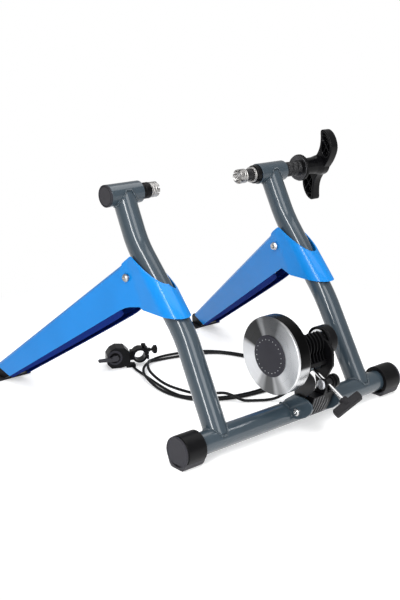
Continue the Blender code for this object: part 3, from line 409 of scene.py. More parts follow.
def settle(target, finish, body, *nodes, sharp=34):
    # sets a finished shape in the frame, with even shading, and lets it ride
    mesh = target.data
    mesh.transform(toFrame)
    mesh.materials.clear()
    mesh.materials.append(paints[finish])
    for face in mesh.polygons:
        face.use_smooth = True
        face.material_index = 0
    mesh.set_sharp_from_angle(angle=math.radians(sharp))
    step = target.modifiers.new("even", "WEIGHTED_NORMAL")
    step.keep_sharp = True
    applied(target)
    target.data.name = target.name
    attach(target, body)
    if nodes:
        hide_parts(*nodes)
    return target


def turnedPiece(name, finish, body, node, place, profile, soft=0.5, sides=48, sharp=34):
    # turned along X about place, in the stead of one node
    settle(turned(name, profile, *place, soft, sides), finish, body, node, sharp=sharp)


def arc(y, z, radius, start, end, count):
    return [(y + radius * math.cos(math.radians(start + (end - start) * index / (count - 1))),
             z + radius * math.sin(math.radians(start + (end - start) * index / (count - 1))))
            for index in range(count)]


def smoothPath(points, perSpan):
    # Catmull-Rom curve through open route points
    hold = [points[0] * 2 - points[1]] + points + [points[-1] * 2 - points[-2]]
    result = []
    for index in range(1, len(hold) - 2):
        a, b, c, d = hold[index - 1:index + 3]
        for step in range(perSpan):
            t = step / perSpan
            result.append(0.5 * (2 * b + (c - a) * t + (2 * a - 5 * b + 4 * c - d) * t * t
                                 + (3 * b - a - 3 * c + d) * t * t * t))
    result.append(points[-1])
    return result


def smoothLoop(points, perSpan=5):
    # closed smooth outline through flat points
    turns = [Vector((*point, 0)) for point in points]
    run = smoothPath([turns[-1]] + turns + turns[:2], perSpan)
    kept = run[perSpan:-perSpan - 1]
    return [(point.x, point.y) for point in kept]


def polyline(name, points, closed=False):
    curve = bpy.data.curves.new(name, "CURVE")
    curve.dimensions = "3D"
    line = curve.splines.new("POLY")
    line.points.add(len(points) - 1)
    for point, place in zip(line.points, points):
        point.co = (*place, 1)
    line.use_cyclic_u = closed
    return inScene(name, curve)


# shift cable, first of all the pieces

shifter = {"spot": (-57, 458), "turn": -27}
# a route point without a height lies on the floor
cable = {"radius": 2.8, "floor": 3.2, "exit": (30, -17.8, 3.3), "straight": 6, "steps": 9,
         "gland": (71.3, -2, 142), "glandWay": (1, 0, 0), "glandLength": 14.3,
         "route": ((-50, 388), (-70, 262), (-53, 212), (-8, 176), (52, 160), (112, 165), (162, 205),
                   (184, 268), (176, 330), (136, 388), (24, 424), (-24, 404, 9.4), (-60, 362, 9.4),
                   (-76, 300), (-77, 250), (-58, 202), (-10, 167), (52, 150), (115, 152), (170, 196),
                   (192, 264), (184, 332), (146, 396), (84, 430), (20, 434), (-24, 396, 15.6),
                   (-52, 352, 15.6), (-60, 300, 9.4), (-58, 250, 9.4), (-42, 205, 9.4), (-14, 168, 15.6),
                   (10, 138), (40, 115), (64, 99, 9), (90, 76, 36), (108, 49, 78), (115, 23, 116),
                   (109, 4, 136))}
shifterTurn = Matrix.Rotation(math.radians(shifter["turn"]), 4, "Z")
shifterPlace = Matrix.Translation((*shifter["spot"], 0)) @ shifterTurn
glandWay = Vector(cable["glandWay"])
glandBase = Vector(cable["gland"])


def makeCable(values):
    floor = values["floor"]
    start = shifterPlace @ Vector(values["exit"])
    away = (shifterPlace.to_3x3() @ Vector((0, -1, 0))).normalized()
    end = glandBase + glandWay * values["glandLength"]
    route = [start + away * values["straight"]]
    route += [Vector((*point, floor)[:3]) for point in values["route"]]
    route += [end + glandWay * values["straight"]]
    smooth = [Vector((place.x, place.y, max(place.z, floor)))
              for place in smoothPath(route, values["steps"])]
    points = [start] + smooth + [end]
    length = sum((b - a).length for a, b in zip(points, points[1:])) * mm
    made = polyline("shiftCable", [toFrame @ place for place in points])
    curve = made.data
    curve.bevel_depth = values["radius"] * mm
    curve.bevel_resolution = 5
    curve.use_fill_caps = True
    curve.resolution_u = 1
    curve.materials.append(paints["cableBlack"])
    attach(made, "frame")
    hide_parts("shift_cable")
    return length


cableLength = makeCable(cable)
print("cable laid, metres:", round(cableLength, 3))


# Geometry Nodes trees for what repeats

def newTree(name, **sockets):
    tree = bpy.data.node_groups.new(name, "GeometryNodeTree")
    tree.is_modifier = True
    tree.interface.new_socket("Geometry", in_out="INPUT", socket_type="NodeSocketGeometry")
    for label, kind in sockets.items():
        tree.interface.new_socket(label, in_out="INPUT", socket_type="NodeSocket" + kind)
    tree.interface.new_socket("Geometry", in_out="OUTPUT", socket_type="NodeSocketGeometry")
    return tree, tree.nodes.new("NodeGroupInput").outputs


def closeTree(tree, source, material):
    real = linked(tree, "GeometryNodeRealizeInstances", {"Geometry": source})
    done = linked(tree, "GeometryNodeSetMaterial", {"Geometry": real[0], "Material": material})
    tree.links.new(done[0], tree.nodes.new("NodeGroupOutput").inputs[0])
    return tree


def upright(tree, source, centre):
    # turns a circle of things to stand square to X
    return linked(tree, "GeometryNodeTransform", {"Geometry": source, "Rotation": (0, math.radians(90), 0),
                                                  "Translation": centre})[0]


def runTree(name, tree, finish, values, start=None):
    # start is a mesh or curve object that the tree works on
    if start is None:
        start = inScene(name, bpy.data.meshes.new(name))
    step = start.modifiers.new("grow", "NODES")
    step.node_group = tree
    values = {"Paint": paints[finish], **values}
    for item in tree.interface.items_tree:
        if item.in_out == "INPUT" and item.name in values:
            step[item.identifier] = values[item.name]
    bpy.context.view_layer.update()
    shaped = start.evaluated_get(bpy.context.evaluated_depsgraph_get())
    made = inScene(name, bpy.data.meshes.new_from_object(shaped))
    bpy.data.objects.remove(start, do_unlink=True)
    return made


def beadTree():
    # overlapping flat drops along a seam, as a hand-run weld leaves them
    tree, given = newTree("weldBead", Spacing="Float", Drop="Float", Seed="Int", Paint="Material")
    dots = linked(tree, "GeometryNodeCurveToPoints",
                  {"Curve": given["Geometry"], "Length": given["Spacing"]}, mode="LENGTH")
    ball = linked(tree, "GeometryNodeMeshIcoSphere", {"Radius": given["Drop"], "Subdivisions": 2})
    size = linked(tree, "FunctionNodeRandomValue", {"Min": (0.75, 0.9, 0.45), "Max": (1.05, 1.15, 0.75),
                                                    "Seed": given["Seed"]}, data_type="FLOAT_VECTOR")
    drops = linked(tree, "GeometryNodeInstanceOnPoints", {"Points": dots["Points"], "Instance": ball["Mesh"],
                                                          "Rotation": dots["Rotation"], "Scale": size[0]})
    return closeTree(tree, drops[0], given["Paint"])


def dotRingTree():
    # round studs on a circle in the plane square to X
    tree, given = newTree("studRing", Count="Int", Reach="Float", Stud="Float", Height="Float",
                          Centre="Vector", Paint="Material")
    circle = linked(tree, "GeometryNodeMeshCircle", {"Vertices": given["Count"], "Radius": given["Reach"]})
    stud = linked(tree, "GeometryNodeMeshCylinder",
                  {"Vertices": 10, "Radius": given["Stud"], "Depth": given["Height"]})
    studs = linked(tree, "GeometryNodeInstanceOnPoints", {"Points": circle["Mesh"],
                                                          "Instance": stud["Mesh"]})
    return closeTree(tree, upright(tree, studs[0], given["Centre"]), given["Paint"])


def ridgeTree():
    # straight ridges on the rim of a wheel that turns about X
    tree, given = newTree("gripRidges", Count="Int", Reach="Float", Length="Float", Width="Float",
                          Height="Float", Centre="Vector", Paint="Material")
    circle = linked(tree, "GeometryNodeMeshCircle", {"Vertices": given["Count"], "Radius": given["Reach"]})
    size = linked(tree, "ShaderNodeCombineXYZ", {"X": given["Height"], "Y": given["Width"],
                                                 "Z": given["Length"]})
    bar = linked(tree, "GeometryNodeMeshCube", {"Size": size[0]})
    outward = linked(tree, "GeometryNodeInputPosition")
    facing = linked(tree, "FunctionNodeAlignRotationToVector", {"Vector": outward[0]},
                    axis="X", pivot_axis="Z")
    bars = linked(tree, "GeometryNodeInstanceOnPoints",
                  {"Points": circle["Mesh"], "Instance": bar["Mesh"], "Rotation": facing[0]})
    return closeTree(tree, upright(tree, bars[0], given["Centre"]), given["Paint"])


def threadTree():
    # screw thread: a small wedge swept along a spiral, standing on Z
    tree, given = newTree("screwThread", Turns="Float", Reach="Float", Rise="Float", Depth="Float",
                          Detail="Int", Paint="Material")
    spiral = linked(tree, "GeometryNodeCurveSpiral",
                    {"Resolution": given["Detail"], "Rotations": given["Turns"],
                     "Start Radius": given["Reach"], "End Radius": given["Reach"], "Height": given["Rise"]})
    wedge = linked(tree, "GeometryNodeCurvePrimitiveCircle", {"Resolution": 6, "Radius": given["Depth"]})
    swept = linked(tree, "GeometryNodeCurveToMesh",
                   {"Curve": spiral["Curve"], "Profile Curve": wedge["Curve"], "Fill Caps": True})
    return closeTree(tree, swept[0], given["Paint"])


weldBead = beadTree()
studRing = dotRingTree()
gripRidges = ridgeTree()
screwThread = threadTree()


def weld(name, seam, closed, spacing, drop, seed):
    bead = runTree(name, weldBead, "slatePaint", {"Spacing": spacing, "Drop": drop, "Seed": seed},
                   polyline("seam", seam, closed))
    settle(bead, "slatePaint", "frame", sharp=80)


def thread(name, finish, start, end, reach, pitch, depth, centre, starts):
    # several spirals on a screw from start to end along X
    made = []
    turns = (end - start) / (pitch * starts)
    turn = Vector((0, 0, 1)).rotation_difference(Vector((1, 0, 0))).to_matrix().to_4x4()
    for index in range(starts):
        one = runTree(name + str(index), screwThread, finish,
                      {"Turns": turns, "Reach": reach, "Rise": end - start, "Depth": depth, "Detail": 28})
        one.data.transform(Matrix.Rotation(2 * math.pi * index / starts, 4, "Z"))
        one.data.transform(Matrix.Translation(Vector(centre)) @ turn @ Matrix.Translation((0, 0, start)))
        made.append(one)
    return merge(*made)


# cross tube with its feet

crossTube = {"radius": 20, "wall": 2, "height": 29.5, "half": 266.2}
foot = {"outer": 272.5, "length": 44, "radius": 27.5, "rim": 4.2, "bore": 20.3, "padTop": 14.5}


def makeCrossTube(values):
    ring = ringOf(-values["half"], values["half"], values["radius"], values["radius"] - values["wall"])
    settle(turned("crossTube", ring, 0, values["height"], 0.4, 72), "slatePaint", "frame", "cross_tube")


def makeFoot(side, sign, values):
    z = crossTube["height"]
    outer = values["outer"]
    inner = outer - values["length"]
    rim = outer - values["rim"]
    r = values["radius"]
    body = side + "_foot"
    barrel = turned(side + "FootBarrel", mirrored(sign, (
        (inner, values["bore"]), (inner, r), (rim - 1.2, r), (rim - 1.2, r - 1.2), (rim, r - 1.2), (rim, 0),
        (outer - 6, 0), (outer - 6, values["bore"]))), 0, z, 0.9, 80)
    cut(barrel, prism("under", [(-30, -5), (30, -5), (30, 3.2), (22, values["padTop"]),
                                (-22, values["padTop"]), (-30, 3.2)], -400, 400))
    settle(barrel, "blackPlastic", body, side + "_foot_hub")
    face = turned(side + "FootFace", mirrored(sign, (
        (rim + 0.2, 0), (rim + 0.2, r - 0.4, 1.6), (outer, r - 0.4, 1.6), (outer, r - 3.4, 0.4),
        (outer - 0.7, r - 4.2, 0.4), (outer - 0.7, 0))), 0, z, 0.4, 80)
    cut(face, prism("under", [(-30, -5), (30, -5), (30, 8), (-30, 8)], -400, 400))
    settle(face, "greyPlastic", body)
    # the pad wraps the underside as a saddle and shows as a chin under the face
    saddle = [(-23.4, values["padTop"], 0), (-19.5, 5.5, 4), (-14, 0, 5), (14, 0, 5), (19.5, 5.5, 4),
              (23.4, values["padTop"], 0)]
    saddle = filleted(saddle, 1, 5) + arc(0, z, r - 2.4, -37, -143, 15)
    pad = prism(side + "FootPad", saddle, sign * (inner + 0.6), sign * (outer - 0.4))
    settle(rounded(pad, 1.1, 3, 40), "padGrey", body, side + "_foot_pad")
    rib = prism(side + "FootRib", [(-22.6, 17.5), (-21.6, 18), (-18.2, 6), (-19.2, 5.4)],
                sign * (outer - 5.6), sign * (outer - 4.4))
    settle(rib, "padGrey", body)


makeCrossTube(crossTube)
for side, sign in bothSides:
    makeFoot(side, sign, foot)
print("cross tube and feet done")


# uprights, sleeves and welds

uprights = {"plane": 181.5, "radius": 21, "wall": 2, "lowBend": (-4.5, 91, 190), "highBend": (2, 212.3, 326),
            "radii": (250, 200), "axle": (257, 411), "lugIn": -20.5, "lugOut": 25, "pivot": (208.9, 272.4),
            "sides": 56, "into": 4, "sunk": 0.6, "bolt": 4.3, "seam": 0.3, "bead": (1.9, 2.1)}
sleeve = {"radius": 20, "bore": 17.5, "inner": 146.5, "outer": 216.5}
axleY, axleZ = uprights["axle"]
pivotY, pivotZ = uprights["pivot"]
through = (-60, 60)  # from side to side of an upright or a leg


def bentPath(points, radii, count=16):
    path = [points[0]]
    for index in range(1, len(points) - 1):
        into = (points[index] - points[index - 1]).normalized()
        out = (points[index + 1] - points[index]).normalized()
        turn = into.angle(out)
        start = points[index] - into * radii[index - 1] * math.tan(turn / 2)
        side = into.cross(out).normalized()
        centre = start + side.cross(into) * radii[index - 1]
        path += [centre + Matrix.Rotation(turn * step / (count - 1), 3, side) @ (start - centre)
                 for step in range(count)]
    path.append(points[-1])
    return path


def sweptTube(name, path, outer, inner, sides):
    bm = bmesh.new()
    rings = []
    for index, point in enumerate(path):
        along = (path[min(index + 1, len(path) - 1)] - path[max(index - 1, 0)]).normalized()
        across = Vector((1, 0, 0))
        up = along.cross(across)
        rings.append([[bm.verts.new(point + (across * math.cos(2 * math.pi * step / sides)
                                             + up * math.sin(2 * math.pi * step / sides)) * radius)
                       for step in range(sides)] for radius in (outer, inner)])
    for first, second in zip(rings, rings[1:]):
        band(bm, first[0], second[0])
        band(bm, first[1], second[1])
    band(bm, *rings[0])
    band(bm, *rings[-1])
    return asObject(name, bm)


def seamPoints(end, away, tubeRadius, roundRadius, steps=72):
    # where a tube that leaves along away meets a round bar along X
    across = Vector((1, 0, 0))
    up = away.cross(across)
    points = []
    for step in range(steps):
        angle = 2 * math.pi * step / steps
        flat = math.sin(angle) * tubeRadius
        side = across * math.cos(angle) * tubeRadius + up * flat
        points.append(end + side + away * math.sqrt(max(0.0, roundRadius ** 2 - flat ** 2)))
    return points


def tubeLine():
    # way and normal of an upright's straight stretch, and its distance from the leg's pivot
    low = Vector((0, *uprights["lowBend"][1:]))
    way = (Vector((0, *uprights["highBend"][1:])) - low).normalized()
    normal = Vector((0, -way.z, way.y))
    return way, normal, (low - Vector((0, pivotY, pivotZ))).dot(normal)


def makeUpright(side, sign, values):
    low = Vector(values["lowBend"]) * Vector((sign, 1, 1))
    high = Vector(values["highBend"]) * Vector((sign, 1, 1))
    base = Vector((0, 0, crossTube["height"]))
    top = Vector((0, axleY, axleZ))
    lowWay = (low - base).normalized()
    topWay = (high - top).normalized()
    into, sunk, proud = values["into"], values["sunk"], values["seam"]
    path = bentPath([base + lowWay * into, low, high, top + topWay * into], values["radii"])
    tube = sweptTube(side + "Upright", path, values["radius"], values["radius"] - values["wall"],
                     values["sides"])
    cut(tube, rod("cross", *through, crossTube["radius"] - sunk, 0, crossTube["height"], 64),
        rod("sleeve", *through, sleeve["radius"] - sunk, axleY, axleZ, 64))
    lugRadius = tubeLine()[2] - values["radius"] + 1.2
    lug = ringOf(sign * values["lugIn"], sign * values["lugOut"], lugRadius, 0)
    join(tube, turned("lug", lug, pivotY, pivotZ, 0.8))
    cut(tube, rod("bolt", *through, values["bolt"], pivotY, pivotZ, 32))
    settle(shifted(tube, sign * values["plane"], 0, 0), "slatePaint", "frame", side + "_upright")
    shell = mirrored(sign, ringOf(sleeve["inner"], sleeve["outer"], sleeve["radius"], sleeve["bore"]))
    settle(turned(side + "Sleeve", shell, axleY, axleZ, 0.8, 72), "slatePaint", "frame", side + "_sleeve")
    shift = Vector((sign * values["plane"], 0, 0))
    for label, end, away, roundRadius in (("Low", base, lowWay, crossTube["radius"]),
                                          ("High", top, topWay, sleeve["radius"])):
        seam = seamPoints(end, away, values["radius"] + proud, roundRadius + proud)
        weld(side + label + "Weld", [point + shift for point in seam], True, *values["bead"],
             3 if sign > 0 else 5)


for side, sign in bothSides:
    makeUpright(side, sign, uprights)
print("uprights and sleeves done")


# folding legs

leg = {"collar": 28, "sheet": 2.5, "skirt": 110, "below": 200, "length": 330, "bolt": 6.3, "channelTop": 219,
       "splay": 0.163, "crease": (197, 277, 0.553), "soft": 7, "widthTop": 28, "widthFoot": 21, "end": 568,
       "cut": (521, 14, 0.333), "pad": (540, 578, 43), "top": (298.4, 0.778), "bottom": (219.3, 0.657),
       # along the leg, how far the lip turns in, how far it drops
       "stations": ((221, 7, 7.5), (231, 10.5, 11), (268, 11, 11.5), (320, 11, 11), (370, 10.5, 10),
                    (440, 8.5, 8), (497, 6, 6), (575, 5, 5)),
       "farSlope": {-1: 0.57, 1: 0.12}, "farTrim": ((60, 233.6), (240, 333), (240, 400), (60, 400)),
       "relief": ((150, 190), (166, 221.8), (168, 222), (180, 226.5), (192, 230.2), (214, 215.9),
                  (214, 190)),
       "trim": ((70, 222, 0), (166, 221.8, 10), (175, 225.8, 4), (198, 221.3, 14), (212, 216.5, 10),
                (232, 204.3, 0), (232, 279.3, 0), (225, 285, 2), (223, 295, 5), (216, 301.5, 4),
                (202, 312, 4), (123.3, 268.5, 30), (96, 253, 20), (60, 233, 0)),
       # where the painted shade goes on the leg's inside and lips
       "dark": {"start": 186, "edge": 1.2, "over": 3}}


def legEdge(edge, y):
    height, fall = leg[edge]
    return height - fall * (y - pivotY)


def legHalf(y):
    return leg["widthTop"] + (leg["widthFoot"] - leg["widthTop"]) * (y - pivotY) / (leg["end"] - pivotY)


def cutLine(y):
    startY, startZ, rise = leg["cut"]
    return startZ + (y - startY) * rise


def leanOut(target, sign):
    # everything behind the slanted crease leans outward, with a soft bend at the crease
    creaseY, creaseZ, lean = leg["crease"]
    soft = leg["soft"]
    bm = bmesh.new()
    bm.from_mesh(target.data)
    for part in (-1, -0.6, -0.2, 0.2, 0.6, 1):
        bmesh.ops.bisect_plane(bm, geom=list(bm.verts) + list(bm.edges) + list(bm.faces), dist=0.0005,
                               plane_co=(0, creaseY + part * soft, creaseZ), plane_no=Vector((0, 1, -lean)))
    for vert in bm.verts:
        past = vert.co.y - creaseY - (vert.co.z - creaseZ) * lean
        if past > soft:
            vert.co.x += past * leg["splay"]
        elif past > -soft:
            vert.co.x += (past + soft) ** 2 / (4 * soft) * leg["splay"]
        vert.co.x = sign * (vert.co.x + uprights["plane"])
    if sign < 0:
        bmesh.ops.reverse_faces(bm, faces=bm.faces)
    bm.to_mesh(target.data)
    bm.free()
    return target


def legChannel():
    # a bent sheet with a crowned top and a lip under each wall
    wall = leg["sheet"] - 0.2
    bm = bmesh.new()
    rings = []
    for y, turnedIn, drop in smoothPath([Vector(station) for station in leg["stations"]], 4):
        half = min(legHalf(y) - 0.1, leg["collar"] - 0.15)
        top = legEdge("top", y)
        low = legEdge("bottom", y)
        lip = math.hypot(turnedIn, drop)
        skin = [(half - turnedIn, low - drop, 0.3), (half, low, 0.8), (half, top + 0.5, 0.8),
                (half - 5.5, top + 7.4, 0.8), (half - 8, top + 9, 1.2)]
        lining = [(half - turnedIn - wall * drop / lip, low - drop + wall * turnedIn / lip, 0),
                  (half - wall, low + 0.4 * wall, 0), (half - wall, top - 0.2, 0),
                  (half - 5.5 - wall, top + 6, 0), (half - 9, top + 9 - wall, 0)]
        loop = filleted(skin + mirrored(-1, skin[::-1]) + mirrored(-1, lining) + lining[::-1], 0, 3)
        rings.append([bm.verts.new((x, y, z)) for x, z in loop])
    for first, second in zip(rings, rings[1:]):
        band(bm, first, second)
    bm.faces.new(rings[0])
    bm.faces.new(rings[-1])
    front = leg["channelTop"]
    return cut(asObject("channel", bm),
               prism("front", [(150, 227), (front, 213), (front, 400), (150, 400)], *through))


def legCollar(name, sign):
    outer = leg["collar"]
    inner = outer - leg["sheet"]
    skirt = -leg["skirt"]
    loop = arc(0, 0, outer, 0, 180, 49) + [(-outer, skirt), (-inner, skirt)]
    loop += arc(0, 0, inner, 180, 0, 49) + [(inner, skirt), (outer, skirt)]
    way, normal, reach = tubeLine()
    bm = bmesh.new()
    extruded(bm, [(*point, 0) for point in loop], (0, 0, leg["length"]))
    turn = Matrix((Vector((1, 0, 0)), normal, way)).transposed().to_4x4()
    lowEnd = Vector((0, pivotY, pivotZ)) + normal * reach - way * leg["below"]
    bm.transform(Matrix.Translation(lowEnd) @ turn)
    wrap = combine(asObject(name, bm), [prism("trim", filleted(leg["trim"], 0, 6), *through)], "INTERSECT")
    # the wall away from the camera is trimmed lower
    slope = prism("slope", leg["farTrim"], -60, 0)
    for vert in slope.data.vertices:
        vert.co.z += leg["farSlope"][sign] * vert.co.x
        vert.co.x *= -sign
    if sign > 0:
        slope.data.flip_normals()
    # the inner wall clears the tube when the leg is folded
    return cut(wrap, slope, prism("relief", leg["relief"], -60, -4))


def paintShadeInside(target, sign, values):
    # painted shade: the leg's inside and its lips take a dark navy paint where the blue paint lies in shade
    creaseY, creaseZ, lean = leg["crease"]
    back = toFrame.inverted()
    target.data.materials.append(paints["shadeNavyPaint"])
    for face in target.data.polygons:
        x, y, z = back @ face.center
        leant = leg["splay"] * max(0, y - creaseY - (z - creaseZ) * lean)
        aside = abs(sign * x - uprights["plane"] - leant)
        within = aside < legHalf(y) - values["edge"] and z < legEdge("top", y) + values["over"]
        under = y > leg["channelTop"] and z < legEdge("bottom", y) - values["edge"]
        if y > values["start"] and (within or under):
            face.material_index = 1


def makeLeg(side, sign):
    body = side + "_folding_leg"
    sheetLeg = join(legCollar(side + "Leg", sign), legChannel())
    cut(sheetLeg, rod("bolt", *through, leg["bolt"], pivotY, pivotZ, 32),
        prism("trim", [(480, -80), (620, -80), (620, cutLine(620)), (480, cutLine(480))], *through))
    settle(leanOut(sheetLeg, sign), "bluePaint", body, side + "_leg", sharp=38)
    paintShadeInside(sheetLeg, sign, leg["dark"])
    end = leg["end"]
    start = leg["cut"][0] + 2
    front, back, wide = leg["pad"]
    half = legHalf(end)
    outline = [(start, cutLine(start) - 0.7, 0), (end - 1, cutLine(end - 1) - 0.7, 1), (end + 5, 22, 3),
               (end + 5, 5.2, 1), (front - 2, 5.2, 3)]
    plug = rounded(prism(side + "LegPlug", filleted(outline, 0), -half, half), 1.2, 3, 40)
    inside = half - 4.3
    join(plug, prism("tongue", [(536, 15), (536, 36), (552, 27), (556, 20)], -inside, inside))
    settle(leanOut(plug, sign), "blackPlastic", body, side + "_leg_plug")
    pad = block(side + "LegPad", (-wide, front, 0), (wide, back, 4.9))
    cut(pad, block("notch", (26, back - 6, -5), (32, back + 5, 10)))
    settle(leanOut(rounded(pad, 1.0, 2, 40), sign), "rubber", body, side + "_leg_pad")


legBolt = {"outer": 32.5, "seatOut": 25.3, "seatIn": -20.8, "inner": -28.4}


def makeLegBolt(side, sign, values):
    base = sign * uprights["plane"]
    head, seat, shoulder, nut = values["outer"], values["seatOut"], values["seatIn"], values["inner"]
    bolt = ((shoulder - 15, 0), (shoulder - 15, 4), (seat, 4, 0), (seat, 6), (head, 6, 0), (head, 7.6, 0.4),
            (head + 2.0, 7.3, 1.2), (head + 4.6, 5.0, 1.6), (head + 5.2, 3.2, 0.3), (head + 2.8, 2.9, 0),
            (head + 2.8, 0))
    sleeved = ((shoulder, 4.3), (shoulder, 6), (nut, 6, 0), (nut, 8), (nut - 2, 8, 0.4), (nut - 6, 6, 1.5),
               (nut - 6, 4.3))
    for label, node, finish, profile in (("LegBolt", "_leg_bolt", "mottledSteel", bolt),
                                         ("LegNut", "_leg_nut", "brightSteel", sleeved)):
        turnedPiece(side + label, finish, "frame", side + node, uprights["pivot"],
                    mirrored(sign, profile, base), 0.2)


for side, sign in bothSides:
    makeLeg(side, sign)
    makeLegBolt(side, sign, legBolt)
print("folding legs done")


# axle cups

cups = {"left": {"mouth": -107, "back": -125, "stem": -152, "stemRadius": 8, "way": -1},
        "right": {"mouth": 95, "back": 112, "stem": 128, "stemRadius": 7, "way": 1},
        "radius": 14, "depth": 9, "notch": 3.4}


def axlePiece(name, finish, body, node, profile, soft=0):
    turnedPiece(name, finish, body, node, uprights["axle"], profile, soft, 64)


def makeCup(side, body, values):
    spec = values[side]
    way = spec["way"]
    mouth = spec["mouth"]
    r = values["radius"]
    deep = values["depth"]
    profile = mirrored(way, ((0, r - 2.6, 0.3), (0, r - 0.8, 0.3), (0.9, r, 0.4),
                             *groove(8, 10.4, r, 0.7, soft=0.3), *groove(13, 15.4, r, 0.7, soft=0.3)), mouth)
    profile += [(spec["back"], r, 0.5), (spec["back"], spec["stemRadius"], 0),
                (spec["stem"], spec["stemRadius"], 0), (spec["stem"], 0)]
    profile += mirrored(way, ((deep, 0), (deep - 3, 7, 0.6)), mouth)
    cup = turned(side + "Cup", profile, axleY, axleZ, 0, 64)
    for index in range(4):
        notch = block("notch", (-5, -values["notch"] / 2, -20), (5, values["notch"] / 2, 20))
        notch.data.transform(Matrix.Rotation(math.pi * (index + 0.5) / 4, 4, "X"))
        cut(cup, shifted(notch, mouth, axleY, axleZ))
    settle(cup, "mottledSteel", body, side + "_cup")


makeCup("left", "frame", cups)
makeCup("right", "clamp", cups)


# end cap and bushings, travelling rod and screw, lock ring and handle

clamp = {"rod": 12, "screw": 14, "handle": (319, 340)}


def makeLeftEnd():
    axlePiece("leftEndCap", "greyPlastic", "frame", "left_end_cap",
              [(-205, 0), (-205, 17.2, 0), (-216.8, 17.2, 0), (-216.8, 20), (-220, 20, 0.9),
               (-220, 17.6, 0.4), (-218.6, 17.0, 0.3), (-218.6, 0)], 0.3)
    axlePiece("leftCapDisc", "padGrey", "frame", "left_cap_disc",
              [(-218.7, 0), (-218.7, 16.6), (-219.8, 16.6, 0.4), (-219.6, 8), (-219.5, 0)], 0.3)
    axlePiece("leftBushing", "blackPlastic", "frame", "left_bushing",
              [(-166, 8.3, 0), (-166, 17.2, 0), (-146.2, 17.2, 0), (-146.2, 14.75, 0.3),
               *groove(-139, -137, 14.75, 0.55), (-125.9, 14.75, 0.6), (-125.3, 13.8, 0.2),
               (-125.3, 8.3, 0)])


def makeClamp(values):
    radius = values["rod"]
    hole = radius + 0.3
    axlePiece("rightBushing", "glossBlack", "frame", "right_bushing",
              [(136, hole, 0), (136, 18, 1.4), (146.2, 18, 0.8), (146.2, 17.2, 0), (154, 17.2, 0),
               (154, hole, 0)])
    axlePiece("rightSteelRing", "mottledSteel", "frame", "right_steel_ring",
              [(129, hole, 0.2), (129, 15.5, 0.7), *groove(131.4, 133.4, 15.5, 0.6), (135.7, 15.5, 0.7),
               (135.7, hole, 0.2)])
    axlePiece("clampRod", "blackMetal", "clamp", "clamp_rod",
              [(112.3, 7.3, 0), (112.3, radius, 0.6), (187, radius, 0.6), (187, 6.3, 0), (170, 6.3, 0),
               (170, 0), (130, 0), (130, 7.3, 0)])
    radius = values["screw"]
    screw = turned("clampScrew", [(171, 0), (171, 6, 0), (187.3, 6, 0), (187.3, radius, 0.6),
                                  (271.9, radius, 0), (271.9, 10, 0), (330, 10, 0), (330, 0)], axleY, axleZ,
                   0, 64)
    merge(screw, thread("ridges", "blackMetal", 188.5, 271, radius - 0.1, 2.0, 1.05, (0, axleY, axleZ), 4))
    settle(screw, "blackMetal", "clamp_handle", "clamp_screw", sharp=50)
    washer = turned("lockWasher", [(262, 15.3, 0), (262, 25.4, 0.6), (263.9, 25.4, 0.3), (263.9, 15.3, 0)],
                    axleY, axleZ, 0, 64)
    merge(washer, runTree("washerTeeth", gripRidges, "darkSteel", {
        "Count": 40, "Reach": 21.2, "Length": 0.5, "Width": 1.1, "Height": 5.2,
        "Centre": (261.9, axleY, axleZ)}))
    settle(washer, "darkSteel", "lock_slide", "lock_washer")
    lock = turned("lockRing", [(264.3, 15.3, 0), (264.3, 25.8, 1.2), (266, 26.6, 0.8), (270.4, 26.6, 0.8),
                               (271.9, 25.2, 1.0), (271.9, 15.3, 0)], axleY, axleZ, 0, 72)
    merge(lock, runTree("lockGrips", gripRidges, "glossBlack", {
        "Count": 36, "Reach": 26.4, "Length": 4.6, "Width": 2.2, "Height": 1.1,
        "Centre": (268.1, axleY, axleZ)}))
    settle(lock, "glossBlack", "lock_nut", "lock_ring")


handle = {"outline": ((-8, 72), (-16, 74), (-27, 67), (-35, 55), (-39, 42), (-38, 30), (-31, 13), (-19, -4),
                      (-7, -16), (2, -28), (7, -42), (8, -56)),
          "pocket": ((-14, 68), (-24, 63), (-31, 52), (-34.5, 40), (-32, 27), (-24, 19), (-12, 30),
                     (-12.5, 48)),
          "round": 10, "voxel": 0.9, "floor": 8, "rib": 2.4}


def makeHandle(values):
    start, end = clamp["handle"]
    half = list(values["outline"])
    full = smoothLoop(half + [(-y, -z) for y, z in half], 5)
    grip = prism("handle", [(axleY + y, axleZ + z) for y, z in full], start, end)
    for turn in (1, -1):
        well = smoothLoop([(turn * y, turn * z) for y, z in values["pocket"]], 5)
        pocket = prism("pocket", [(axleY + y, axleZ + z) for y, z in well], start - 5, end - values["floor"])
        for lean, y, z in ((35, 23, 40), (-35, 23, 40), (90, 23, 62), (62, 25, 20)):
            rib = block("rib", (start + 1.6, -values["rib"] / 2, -40), (end, values["rib"] / 2, 40))
            rib.data.transform(Matrix.Rotation(math.radians(lean), 4, "X"))
            cut(pocket, shifted(rib, 0, axleY - turn * y, axleZ + turn * z))
        cut(grip, pocket)
    cut(grip, rod("well", start - 9, end - 6, 17, axleY, axleZ, 64))
    softened(grip, values["voxel"], values["round"])
    hub = turned("hub", [(272.3, 10.3, 0), (272.3, 17, 0.8), (306, 18, 2), (322, 21, 2), (end - 3, 21, 1),
                         (end - 3, 0), (330.3, 0), (330.3, 10.3, 0)], axleY, axleZ, 0, 64)
    join(grip, hub)
    settle(grip, "glossBlack", "clamp_handle", "handle", sharp=60)


makeLeftEnd()
makeClamp(clamp)
makeHandle(handle)
print("axle line done")


# bracket on the cross tube and the tension arm

